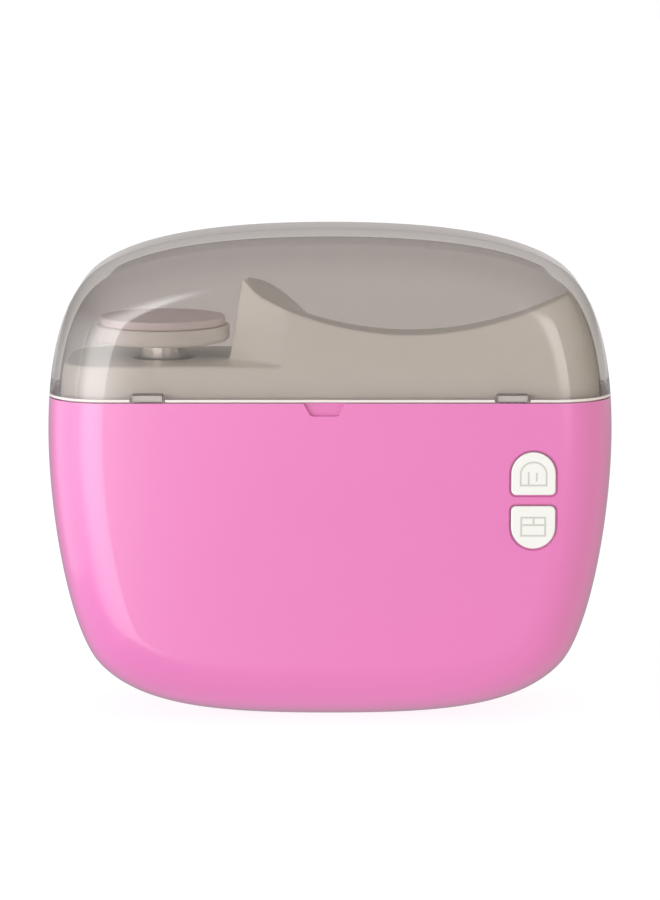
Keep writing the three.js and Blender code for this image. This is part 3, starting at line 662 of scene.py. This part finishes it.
# The pad's top and rim are painted near-white to lift them out of the shade they sit in, and its side
# dark grey as painted shade: lit and shaded copies of one pad.
PAD = moulded("abrasive_pad_painted_light", linear(232, 219, 219), 0.85, relief=0.12, shift=0.05)
PAD_SIDE_PAINTED_SHADE = moulded("pad_side_painted_shade", linear(142, 132, 131), 0.85, relief=0.12, shift=0.05)
PAD_RIM = moulded("pad_rim_painted_light", linear(232, 222, 220), 0.6, relief=0.03)
RUBBER = moulded("pad_rubber", linear(70, 66, 64), 0.85, relief=0.05)
BLACK = moulded("black_moulding", linear(34, 34, 36), 0.5)
BOARD = moulded("board_lacquer", linear(40, 104, 66), 0.35)
WRAP = moulded("cell_wrap", linear(62, 108, 176), 0.3)
FELT = moulded("filter_felt", linear(232, 229, 220), 0.95, relief=0.15)
STEEL = metal("brushed_steel", (0.62, 0.62, 0.63, 1), 0.28)
POLISHED = metal("polished_steel", (0.74, 0.72, 0.70, 1), 0.16)


def dress(obj, *materials):
    obj.data.materials.clear()
    for material in materials:
        obj.data.materials.append(material)


# ------------------------------------------------------------------ case shells
OUTLINE_POINTS = 220
EDGE_STEPS = 16


def case_sheet(inset, front):
    side = -1 if front else 1
    profile = edge_profile(inset, EDGE_STEPS, side) + [(inset, side * PARTING)]
    if not front:
        profile = profile[::-1]
    return pillow_rows(profile, CASE_TOP, False, OUTLINE_POINTS)


def key_outline(centre_z, direction, grow):
    """A key's outline: half round at its outer end, nearly square at the end that faces its twin."""
    half_w = KEY_WIDTH / 2 + grow
    half_h = KEY_HEIGHT / 2 + grow
    corner = KEY_CORNER + grow
    points = arc(0, half_h - half_w, half_w, 0, 2, 24)
    points += arc(corner - half_w, corner - half_h, corner, 2, 3, 12)
    points += arc(half_w - corner, corner - half_h, corner, 3, 4, 12)
    return [(KEY_X + x, centre_z + direction * z) for x, z in points]


def rooted(posts, front):
    """Screw posts, ended where they have reached into the case's wall."""
    whole = gather("posts", posts)
    boolean(whole, filled("core", case_sheet(WALL - POST_ROOT, front)), "INTERSECT")
    return whole


def foot_pocket():
    x, y, top = FOOT_X + FOOT_GAP, FOOT_Y + FOOT_GAP, FOOT_TOP + FOOT_GAP
    return block("pocket", -x, x, -y, y, -OUTSIDE, top)


def finger_notch():
    """The small scoop under the lid's front edge."""
    floor = SEAM_Z - NOTCH_DROP
    low_corner, side_foot = floor + 0.35, floor + 1.2
    side_top, over = SEAM_Z - 0.4, SEAM_Z + OUTSIDE
    outline = [(-7.2, over), (-7.1, side_top), (-5.9, side_foot), (-5.4, low_corner), (-4.6, floor)]
    outline += [(1.7, floor), (2.5, low_corner), (3.0, side_foot), (4.0, side_top), (4.1, over)]
    return prism("notch", outline, FACE - OUTSIDE, FACE + NOTCH_DEPTH)


def front_shell():
    shell = thin_shell("case_front", case_sheet(0, True), case_sheet(WALL, True), True, False)
    posts = along_y("post", FRONT_POST_R, FACE, -PARTING, CASE_SCREWS)
    posts += along_y("post", BOARD_POST_R, FACE, BOARD_Y - BOARD_GAP, BOARD_SCREWS)
    boolean(shell, rooted(posts, True), "UNION")
    cuts = [finger_notch(), foot_pocket()]
    for z, direction in KEY_Z.values():
        outline = key_outline(z, direction, KEY_GAP)
        cuts.append(prism("hole", outline, FACE - 2 * OUTSIDE, FACE + WALL + OUTSIDE))
    cuts += along_y("pilot", *CASE_PILOT, CASE_SCREWS, 20)
    cuts += along_y("pilot", *BOARD_PILOT, BOARD_SCREWS, 16)
    boolean(shell, gather("cuts", cuts), "DIFFERENCE")
    soften(shell, FRONT_EDGE)
    for z, direction in KEY_Z.values():
        outline = key_outline(z, direction, KEY_GROOVE)
        groove = prism("groove", outline, FACE - 2 * OUTSIDE, FACE + KEY_GROOVE_DEPTH)
        boolean(shell, groove, "DIFFERENCE")
    soften(shell, GROOVE_EDGE, 2)
    dress(shell, PINK)
    place(shell, "case", "pink_plastic", "front_shell")


def knuckle(x0, x1, low, high):
    barrel = cylinder("barrel", "x", KNUCKLE_R, x0, x1, HINGE_Y, SEAM_Z, 40)
    arm = block("arm", x0, x1, HALF_DEPTH - 1, HINGE_Y, low, high)
    boolean(barrel, arm, "UNION")
    bore = cylinder("bore", "x", PIN_BORE, x0 - OUTSIDE, x1 + OUTSIDE, HINGE_Y, SEAM_Z, 24)
    boolean(barrel, bore, "DIFFERENCE")
    return barrel


def back_openings():
    """What is cut from the rear shell for the door, the vent and the charging inlet."""
    behind = HALF_DEPTH + OUTSIDE
    inside = HALF_DEPTH - WALL - 1
    x0, x1, z0, z1 = DOOR
    door = block("door", x0, x1, HALF_DEPTH - WALL - 0.1, behind, z0, z1)
    x, z, radius = VENT
    vent = cylinder("vent", "y", radius + VENT_GAP, inside, behind, x, z, 96)
    x, z, width, height = PORT
    half_w, half_h = width / 2 + PORT_GAP, height / 2 + PORT_GAP
    slot = rounded_rectangle(x - half_w, x + half_w, z - half_h, z + half_h, PORT_CORNER)
    return [door, vent, prism("slot", slot, inside, behind)]


def rear_shell():
    shell = thin_shell("case_rear", case_sheet(0, False), case_sheet(WALL, False), False, True)
    posts = along_y("post", REAR_POST_R, PARTING, HALF_DEPTH, CASE_SCREWS)
    boolean(shell, rooted(posts, False), "UNION")
    added = [knuckle(x0, x1, SEAM_Z - KNUCKLE_R, CASE_TOP) for x0, x1 in CASE_KNUCKLES]
    x0, x1, z0, _ = DOOR
    left, right = x0 + SHELF_SIDE, x1 - SHELF_SIDE
    low, high = z0 - SHELF_UNDER, z0 + SHELF_OVER
    added.append(block("shelf", left, right, SHELF_FRONT_Y, HALF_DEPTH - 1, low, high))
    boolean(shell, gather("added", added), "UNION")
    cuts = back_openings()
    cuts += along_y("seat", *SCREW_SEAT, CASE_SCREWS)
    cuts += along_y("way", *SCREW_WAY, CASE_SCREWS, 20)
    boolean(shell, joined(foot_pocket(), cuts), "DIFFERENCE")
    soften(shell, REAR_EDGE)
    dress(shell, PINK)
    place(shell, "case", "pink_plastic", "rear_shell")


# ------------------------------------------------------------------ lid
FRONT_GLOSS, REAR_GLOSS = 1.0, 0.35


def lid_sheet(inset, pressed):
    profile = edge_profile(inset, EDGE_STEPS, -1) + edge_profile(inset, EDGE_STEPS, 1)[::-1]
    return pillow_rows(profile, LID_LOW, True, OUTLINE_POINTS, pressed)


def mark_outside(shell, outer_count):
    """Writes each face's gloss: full on the outer sheet's front, faint on its rear, none inside."""
    outside = shell.data.attributes.new("outside", "FLOAT", "FACE")
    for polygon in shell.data.polygons:
        gloss = FRONT_GLOSS if polygon.center.y < 0 else REAR_GLOSS
        outside.data[polygon.index].value = gloss if min(polygon.vertices) < outer_count else 0.0


def catch_windows(name, margin):
    windows = []
    for side in (-1, 1):
        x = side * CATCH_X
        half = CATCH_HALF + margin
        outline = rounded_rectangle(x - half, x + half, LID_LOW - 3, LID_LOW + CATCH_HIGH + margin, 0.8)
        windows.append(prism("window", outline, FACE - OUTSIDE, FACE + WALL + OUTSIDE))
    return gather(name, windows)


def lid():
    outer = lid_sheet(0, False)
    shell = thin_shell("lid_cover", outer, lid_sheet(WALL, True), True, True)
    mark_outside(shell, outer.shape[0] * outer.shape[1])
    knuckles = [knuckle(x0, x1, LID_LOW, SEAM_Z + KNUCKLE_R) for x0, x1 in LID_KNUCKLES]
    boolean(shell, gather("knuckles", knuckles), "UNION")
    dress(shell, SMOKE, WINDOW_EDGE_PAINTED_SHADE)
    # The windows' cut faces take the second material, the dark painted-shade window edge.
    windows = catch_windows("windows", 0)
    for polygon in windows.data.polygons:
        polygon.material_index = 1
    boolean(shell, windows, "DIFFERENCE")
    soften(shell, LID_EDGE)
    place(shell, "lid", "smoke_clear", "lid")


def seam_loop(z, grow):
    """The case's horizontal section at a level, as a closed loop, moved outwards by grow."""
    right = []
    for inset, y in edge_profile(-grow, 14, -1) + edge_profile(-grow, 14, 1)[::-1]:
        right.append((open_outline(inset, z, True, 3)[-1][0], y))
    left = [(-x, y) for x, y in right[::-1]]
    return right + left


def lid_lip():
    """The lid's lower lip, an opaque pale band: a painted highlight all round the seam."""
    low, high = LID_LOW, LID_LOW + LIP_HEIGHT
    proud, sunk = 0.03, -0.5
    corners = [(proud, low), (proud, high), (sunk, high), (sunk, low)]
    loops = [(seam_loop(z, grow), z) for grow, z in corners]
    n = len(loops[0][0])
    verts = [(x, y, z) for loop, z in loops for x, y in loop]
    faces = []
    for j in range(4):
        for k in range(n):
            m = (k + 1) % n
            a, b = j * n, ((j + 1) % 4) * n
            faces.append((a + k, a + m, b + m, b + k))
    lip = new_object("lid_lower_lip", verts, faces)
    boolean(lip, catch_windows("windows", 0.35), "DIFFERENCE")
    shade(lip)
    dress(lip, PAINTED_LIP_HIGHLIGHT)
    place(lip, "lid", "smoke_clear")


# ------------------------------------------------------------------ deck with the hand saddle
def saddle_bow(x):
    return SADDLE_BOW * (x - SADDLE_X) ** 2


def front_rim(x):
    horn = HORN_BEND * max(0.0, HORN_X - x) ** 2
    return SADDLE_LOW + saddle_bow(x) + horn


def back_rim(x):
    return mix(SADDLE_RIDGE, SADDLE_VALLEY + saddle_bow(x), smooth(x, RIDGE_X, VALLEY_X))


def saddle_height(x, y):
    return mix(front_rim(x), back_rim(x), smooth(y, SADDLE_FRONT_Y, SADDLE_BACK_Y))


def under_saddle(name, drop, floor=DECK_ROOT_Z):
    """Everything under the saddle surface, lowered by drop."""
    columns, rows = 96, 44
    x0, x1, y0, y1 = SADDLE_SHEET
    xs = np.linspace(x0, x1, columns + 1)
    ys = np.linspace(y0, y1, rows + 1)
    top = [(x, y, saddle_height(x, y) - drop) for y in ys for x in xs]
    bottom = [(x, y, floor) for y in ys for x in xs]
    n = columns + 1
    size = len(top)
    faces = []
    for j in range(rows):
        for i in range(columns):
            a = j * n + i
            faces.append((a, a + 1, a + n + 1, a + n))
            faces.append((size + a, size + a + n, size + a + n + 1, size + a + 1))
    for i in range(columns):
        for a in (i, rows * n + i):
            faces.append((a, a + 1, size + a + 1, size + a))
    for j in range(rows):
        for a in (j * n, j * n + columns):
            faces.append((a, a + n, size + a + n, size + a))
    return new_object(name, top + bottom, faces)


def block_plan(level, skin):
    """The block's corners at a level, drawn in by skin."""
    t = (level - BLOCK_FOOT["z"]) / (BLOCK_TOP["z"] - BLOCK_FOOT["z"])

    def at(name):
        foot, top = BLOCK_FOOT[name], BLOCK_TOP[name]
        return (mix(foot[0], top[0], t) + skin, mix(foot[1], top[1], t))

    waist = at("waist")
    return [at("front"), (WIDE, -DEEP), (WIDE, DEEP), (waist[0], DEEP), waist, at("turn")]


def block_sides(name, skin, levels=26):
    """A body whose outline is the block's plan at each level."""
    heights = np.linspace(DECK_ROOT_Z, ABOVE_Z, levels + 1)
    verts = [(x, y, z) for z in heights for x, y in block_plan(z, skin)]
    n = len(verts) // len(heights)
    faces = [tuple(range(n)), tuple(range(len(verts) - n, len(verts)))]
    for j in range(levels):
        for k in range(n):
            a, b = j * n + k, j * n + (k + 1) % n
            faces.append((a, b, b + n, a + n))
    return new_object(name, verts, faces)


def filled_pillow(name, inset):
    """The pressed form under the lid as a closed body."""
    profile = edge_profile(inset, 12, -1) + edge_profile(inset, 12, 1)[::-1]
    return filled(name, pillow_rows(profile, DECK_ROOT_Z, True, 160, True))


def hinge_sweep(name, skin):
    """What the lid's hollow sweeps clear as it swings about the hinge."""
    at_seam = open_outline(0, SEAM_Z, True, 40)
    corner_x = at_seam[-1][0] - EDGE_ROUND
    radius = EDGE_ROUND - WALL
    reach = HINGE_Y + HALF_DEPTH - EDGE_ROUND - SWING_CLEARANCE - skin
    corner = arc(reach, corner_x, radius, 0, 84 / 90, 12)
    profile = [(r, -x) for r, x in corner[::-1]] + corner
    sweep = turned(name, profile, 0, 0, 256)
    turn = Matrix.Rotation(math.pi / 2, 4, "Y")
    shift = Matrix.Translation((0, HINGE_Y * MM, SEAM_Z * MM))
    sweep.data.transform(shift @ turn)
    return sweep


def deck_form(name, skin):
    form = filled_pillow(name, DECK_INSET + skin)
    boolean(form, hinge_sweep("sweep", skin), "INTERSECT")
    raised = under_saddle("raised", skin)
    boolean(raised, block_sides("sides", skin), "INTERSECT")
    low = block("low", -WIDE, WIDE, -DEEP, DEEP, BELOW_Z, DECK_TOP_Z - skin)
    boolean(low, raised, "UNION")
    boolean(form, low, "INTERSECT")
    return form


def grille_box(name, margin):
    x, y, width, depth = GRILLE
    half_w, half_d = width / 2 + margin, depth / 2 + margin
    return block(name, x - half_w, x + half_w, y - half_d, y + half_d, BELOW_Z, ABOVE_Z)


def bracket_bosses():
    """Two posts with pilot holes under the deck, for the motor bracket's screws."""
    bosses = []
    for x in (DISC_X - BRACKET_BOSS_X, DISC_X + BRACKET_BOSS_X):
        boss = cylinder("boss", "z", BRACKET_BOSS_R, BRACKET_BOSS_LOW, DECK_TOP_Z - 1, x, 0)
        low, high = BRACKET_BOSS_LOW - OUTSIDE, DECK_TOP_Z - 2
        boolean(boss, cylinder("pilot", "z", BRACKET_PILOT_R, low, high, x, 0, 20), "DIFFERENCE")
        bosses.append(boss)
    return gather("bosses", bosses)


def cast_smooth(form):
    """Turns a body with hard edges into one skin whose edges are all slightly round."""
    remesh = form.modifiers.new("remesh", "REMESH")
    remesh.mode = "VOXEL"
    remesh.voxel_size = 0.5 * MM
    remesh.use_smooth_shade = True
    ease = form.modifiers.new("ease", "SMOOTH")
    ease.factor = 0.5
    ease.iterations = 4
    apply_modifiers(form)
    for polygon in form.data.polygons:
        polygon.use_smooth = True


def deck():
    form = deck_form("deck_moulding", 0)
    boolean(form, deck_form("hollow", DECK_SKIN), "DIFFERENCE")
    boolean(form, block("below", -WIDE, WIDE, -DEEP, DEEP, BELOW_Z, DECK_FLOOR_Z), "DIFFERENCE")
    boolean(form, bracket_bosses(), "UNION")
    hole = cylinder("stem_hole", "z", STEM_HOLE_R, BELOW_Z, ABOVE_Z, DISC_X, 0, 96)
    boolean(form, hole, "DIFFERENCE")
    boolean(form, grille_box("grille_hole", GRILLE_GAP), "DIFFERENCE")
    cast_smooth(form)
    dress(form, IVORY)
    place(form, "case", "ivory_plastic", "deck")


def intake_grille():
    x, y, _, _ = GRILLE
    plug = under_saddle("intake_plate", 0)
    boolean(plug, grille_box("plug", 0), "INTERSECT")
    flange = under_saddle("flange", GRILLE_FLANGE_DROP)
    boolean(flange, grille_box("rim", GRILLE_FLANGE), "INTERSECT")
    boolean(plug, flange, "UNION")
    boolean(plug, under_saddle("under", GRILLE_UNDER_DROP, BELOW_Z), "DIFFERENCE")
    half_w, half_d = GRILLE_SLOT_WIDTH / 2, GRILLE_SLOT_DEPTH / 2
    slots = []
    for middle in range(-12, 13, 4):
        left, right = x + middle - half_w, x + middle + half_w
        slots.append(block("slot", left, right, y - half_d, y + half_d, BELOW_Z, ABOVE_Z))
    boolean(plug, gather("slots", slots), "DIFFERENCE")
    soften(plug, GRILLE_EDGE, 2)
    dress(plug, IVORY)
    place(plug, "case", "ivory_plastic", "intake_grille")


# ------------------------------------------------------------------ buffing head
def pad_faces(pad):
    """Gives the pad's flat top the first material and its rounded rim the second, both painted pale,
    and its side the third, painted dark as shade.
    """
    for polygon in pad.data.polygons:
        if polygon.center.z < PAD_RIM_Z * MM:
            polygon.material_index = 2
        elif len(polygon.vertices) == 4:
            polygon.material_index = 1


def buffing_head():
    spindle = turned("buffing_spindle", rounded_profile(STEM_PROFILE, HEAD_EDGE), DISC_X, 0)
    plate = turned("buffing_disc", rounded_profile(PLATE_PROFILE, HEAD_EDGE), DISC_X, 0)
    pad = turned("buffing_pad_top", rounded_profile(PAD_PROFILE, PAD_EDGE), DISC_X, 0)
    pad_faces(pad)
    for obj, materials, slot, node in (
        (spindle, [POLISHED], "steel", "spindle"),
        (plate, [PLATE], "ivory_plastic", "disc_base"),
        (pad, [PAD, PAD_RIM, PAD_SIDE_PAINTED_SHADE], "pad_grey", "buffing_pad"),
    ):
        shade(obj)
        dress(obj, *materials)
        place(obj, "buffing_head", slot, node)


# ------------------------------------------------------------------ keys
def key(which):
    z, direction = KEY_Z[which]
    outline = key_outline(z, direction, 0)
    skirt = key_outline(z, direction, KEY_FLANGE_GROW)
    cap = prism(f"key_{which}", outline, FACE - KEY_PROUD, KEY_FLANGE_Y + 0.8)
    boolean(cap, prism("flange", skirt, KEY_FLANGE_Y, KEY_FLANGE_Y + 0.9), "UNION")
    stem = cylinder("stem", "y", KEY_STEM_R, KEY_FLANGE_Y + 0.4, KEY_STEM_END_Y, KEY_X, z)
    boolean(cap, stem, "UNION")
    soften(cap, KEY_EDGE, 5, 50)
    dress(cap, WHITE)
    place(cap, f"{which}_key", "white_key", f"button_{which}")


MARK_LINE = 0.5  # width of a mark's lines
MARK_FRONT = FACE - KEY_PROUD - 0.03
MARK_BACK = FACE - KEY_PROUD + 0.1


def stroke(x0, x1, z0, z1):
    return block("stroke", x0, x1, MARK_FRONT, MARK_BACK, z0, z1)


def arch_band(cx, base, half_width, spring, rise):
    """An open arch: two uprights from the base to the spring line, and a half ellipse over them."""
    def line(inset):
        side, top = half_width - inset, rise - inset
        points = [(cx - side, base)]
        for i in range(25):
            angle = math.pi * (1 - i / 24)
            points.append((cx + side * math.cos(angle), spring + top * math.sin(angle)))
        return points + [(cx + side, base)]

    return prism("arch", line(0) + line(MARK_LINE)[::-1], MARK_FRONT, MARK_BACK)


def upper_mark():
    """A pale arch over a base line, with two uprights in it."""
    z, x, w = KEY_Z["upper"][0], KEY_X, MARK_LINE
    left, right, base = x - 3.75, x + 3.75, z - 3.45
    arch = arch_band(x, base, 3.75, z - 0.1, 3.5)
    others = [stroke(left, right, base, base + w)]
    others.append(stroke(x - 1.6, x - 1.6 + w, base + 0.1, z + 0.5))
    others.append(stroke(x + 0.6, x + 0.6 + w, z - 2.1, z + 0.3))
    return joined(arch, others)


def lower_mark():
    """A pale tray of three fields."""
    z, x, w = KEY_Z["lower"][0], KEY_X, MARK_LINE
    left, right, low, high = x - 3.5, x + 3.5, z - 2.5, z + 3.0
    middle = z + 0.45
    frame_lines = [stroke(left, right, high - w, high), stroke(right - w, right, low, high - 0.1)]
    frame_lines.append(stroke(left, left + w, low, high - 0.1))
    frame_lines.append(stroke(left + 0.6, right - 0.1, middle, middle + w))
    frame_lines.append(stroke(x - 0.15, x - 0.15 + w, middle + 0.1, high - 0.1))
    return joined(stroke(left, right, low, low + w), frame_lines)


def key_marks():
    for which, mark in (("upper", upper_mark()), ("lower", lower_mark())):
        mark.name = f"key_{which}_mark"
        shade(mark)
        dress(mark, MARK)
        place(mark, f"{which}_key", "white_key")


def base_pad():
    pad = block("base_pad_foot", -FOOT_X, FOOT_X, -FOOT_Y, FOOT_Y, 0, FOOT_TOP)
    soften(pad, FOOT_EDGE)
    dress(pad, RUBBER)
    place(pad, "case", "base_rubber", "base_pad")


front_shell()
rear_shell()
lid()
lid_lip()
deck()
intake_grille()
buffing_head()
key("upper")
key("lower")
key_marks()
base_pad()

# ------------------------------------------------------------------ CAD nodes that keep their mesh
STEEL_NODES = ["motor", "charge_port"]
STEEL_NODES += [f"hinge_pin_{side}" for side in ("left", "right")]
STEEL_NODES += [f"bracket_screw_{side}" for side in ("left", "right")]
STEEL_NODES += [f"board_screw_{i}" for i in (1, 2)]
STEEL_NODES += [f"case_screw_{i}" for i in (1, 2, 3, 4)]
BLACK_NODES = ["motor_bracket", "dust_duct", "fan_frame", "fan_impeller", "battery_holder"]
BLACK_NODES += [f"switch_{which}" for which in KEY_Z]
KEPT = [
    (PINK, ["vent_grille", "dust_drawer"]),
    (CATCH, ["catch_left", "catch_right"]),
    (STEEL, STEEL_NODES),
    (BLACK, BLACK_NODES),
    (BOARD, ["control_board", "charge_board"]),
    (WRAP, ["battery_cell"]),
    (FELT, ["filter_panel"]),
]
for material, names in KEPT:
    for name in names:
        node = NODES[name]
        dress(node, material)
        edge = node.modifiers.new("edge", "BEVEL")
        edge.width = INNER_EDGE * MM
        edge.segments = 2
        edge.limit_method = "ANGLE"
        edge.angle_limit = math.radians(40)

# ------------------------------------------------------------------ floor, light and camera
FLOOR_GLOW = 0.85
# Light from in front, from the far left (X = -1) to the far right (X = 1), as (place, colour).
FRONT_SKY = [(0.0, (0.72, 0.72, 0.73)), (0.42, (0.69, 0.69, 0.69)), (1.0, (0.81, 0.78, 0.65))]
REAR_UPPER_SKY = 0.3  # behind the object and above the horizon, which the lid's top mirrors
REAR_LOWER_SKY = 0.42  # behind and below it, which the sides mirror; white stays between the two


def stage_floor():
    """A pale floor that gives the object neither light nor reflections."""
    verts = [(-3000, -2500, 0), (3000, -2500, 0), (3000, 6000, 0), (-3000, 6000, 0)]
    floor = new_object("studio_floor", verts, [(0, 1, 2, 3)], False)
    material, _, shader = principled("pale_floor")
    shader.inputs["Base Color"].default_value = (0.25, 0.25, 0.25, 1)
    shader.inputs["Roughness"].default_value = 0.6
    shader.inputs["Emission Color"].default_value = (1, 1, 1, 1)
    shader.inputs["Emission Strength"].default_value = FLOOR_GLOW
    dress(floor, material)
    floor.visible_glossy = False
    floor.visible_diffuse = False


def front_light(tree, across):
    """The colour ramp of the light from in front, along X."""
    side = tree.nodes.new("ShaderNodeMapRange")
    side.inputs["From Min"].default_value = -1
    tree.links.new(across, side.inputs["Value"])
    front = tree.nodes.new("ShaderNodeValToRGB")
    front.color_ramp.elements.new(FRONT_SKY[1][0])
    for element, (position, colour) in zip(front.color_ramp.elements, FRONT_SKY):
        element.position = position
        element.color = (*colour, 1)
    tree.links.new(side.outputs["Result"], front.inputs["Fac"])
    return front.outputs["Color"]


def rear_light(tree, up):
    """White round the horizon, darker above and below it."""
    top = stepped(tree, up, -0.01, 0.12, 1.0, REAR_UPPER_SKY)
    foot = stepped(tree, up, -0.12, -0.05, REAR_LOWER_SKY, 1.0)
    return maths(tree, "MULTIPLY", top, foot)


def world():
    """A front and a rear sky, which pass into each other at the sides."""
    sky = bpy.data.worlds.new("studio")
    scene.world = sky
    sky.use_nodes = True
    tree = sky.node_tree
    direction = tree.nodes.new("ShaderNodeTexCoord")
    across, back, up = split_axes(tree, direction.outputs["Generated"])
    blend = tree.nodes.new("ShaderNodeMix")
    blend.data_type = "RGBA"
    tree.links.new(stepped(tree, back, 0.2, 0.9, 0.0, 1.0), blend.inputs["Factor"])
    tree.links.new(front_light(tree, across), blend.inputs[COLOUR_A])
    tree.links.new(rear_light(tree, up), blend.inputs[COLOUR_B])
    tree.links.new(blend.outputs[COLOUR_RESULT], tree.nodes["Background"].inputs["Color"])


LAMP_DISTANCE = 1.1
# Where a lamp fades: at its two sides, as shares of its width, and at its foot and top, of its height.
SOFT_SIDE, HARD_SIDE = (0.0, 0.5), (0.97, 1.0)
FOOT_FADE, TOP_FADE = (0.0, 0.4), (0.6, 1.0)
# Lamps, as (name, first azimuth, last azimuth, low, high, glow, foot); softbox() says what they are.
LAMPS = [
    ("left_box", -70, -6, -0.35, 0.44, 3.7, 0.45),
    ("side_box", -125, -60, -0.3, 0.5, 1.3, 0.8),
    ("right_box", 9, 36, -0.12, 0.38, 1.9, 0.0),
]


def softbox(name, azimuth0, azimuth1, low, high, glow, foot):
    """An upright lamp panel between two azimuths, in degrees from straight ahead, left negative.
    It stands between two heights in metres, fades towards both sides and the top, and fades
    downwards to the share foot."""
    a0, a1 = math.radians(azimuth0), math.radians(azimuth1)
    p = Vector((math.sin(a0), -math.cos(a0), 0)) * LAMP_DISTANCE
    q = Vector((math.sin(a1), -math.cos(a1), 0)) * LAMP_DISTANCE
    light = bpy.data.lights.new(name, "AREA")
    light.shape = "RECTANGLE"
    light.size = (q - p).length
    light.size_y = high - low
    light.energy = glow * light.size * light.size_y * math.pi
    light.use_nodes = True
    tree = light.node_tree
    surface = tree.nodes.new("ShaderNodeNewGeometry")
    across, up, _ = split_axes(tree, surface.outputs["Parametric"])
    strength = stepped(tree, up, *FOOT_FADE, foot, 1.0)
    fades = [(across, *SOFT_SIDE, 0.0, 1.0), (across, *HARD_SIDE, 1.0, 0.0), (up, *TOP_FADE, 1.0, 0.0)]
    for fade in fades:
        strength = maths(tree, "MULTIPLY", strength, stepped(tree, *fade))
    tree.links.new(strength, tree.nodes["Emission"].inputs["Strength"])
    lamp = bpy.data.objects.new(name, light)
    middle = (p + q) / 2
    lamp.location = (middle.x, middle.y, (low + high) / 2)
    lamp.rotation_euler = Vector((-middle.x, -middle.y, 0)).to_track_quat("-Z", "Y").to_euler()
    scene.collection.objects.link(lamp)


CAMERA_ELEVATION = 9.0  # degrees
CAMERA_DISTANCE = 0.95  # metres, as the target's height is
TARGET_Z = 0.07245
PIXELS_PER_MM = 3.59  # at the target
PICTURE_HEIGHT = 900
SENSOR = 36.0


def camera():
    elevation = math.radians(CAMERA_ELEVATION)
    target = Vector((0.0, 0.0, TARGET_Z))
    lens = bpy.data.cameras.new("photo_view")
    lens.sensor_fit = "VERTICAL"
    lens.sensor_height = SENSOR
    lens.lens = PIXELS_PER_MM * CAMERA_DISTANCE * 1000 * SENSOR / PICTURE_HEIGHT
    view = bpy.data.objects.new("photo_view", lens)
    view.location = target + Vector((0, -math.cos(elevation), math.sin(elevation))) * CAMERA_DISTANCE
    view.rotation_euler = (math.radians(90) - elevation, 0, 0)
    scene.collection.objects.link(view)
    scene.camera = view


stage_floor()
world()
for lamp in LAMPS:
    softbox(*lamp)
camera()
scene.view_settings.view_transform = "Standard"
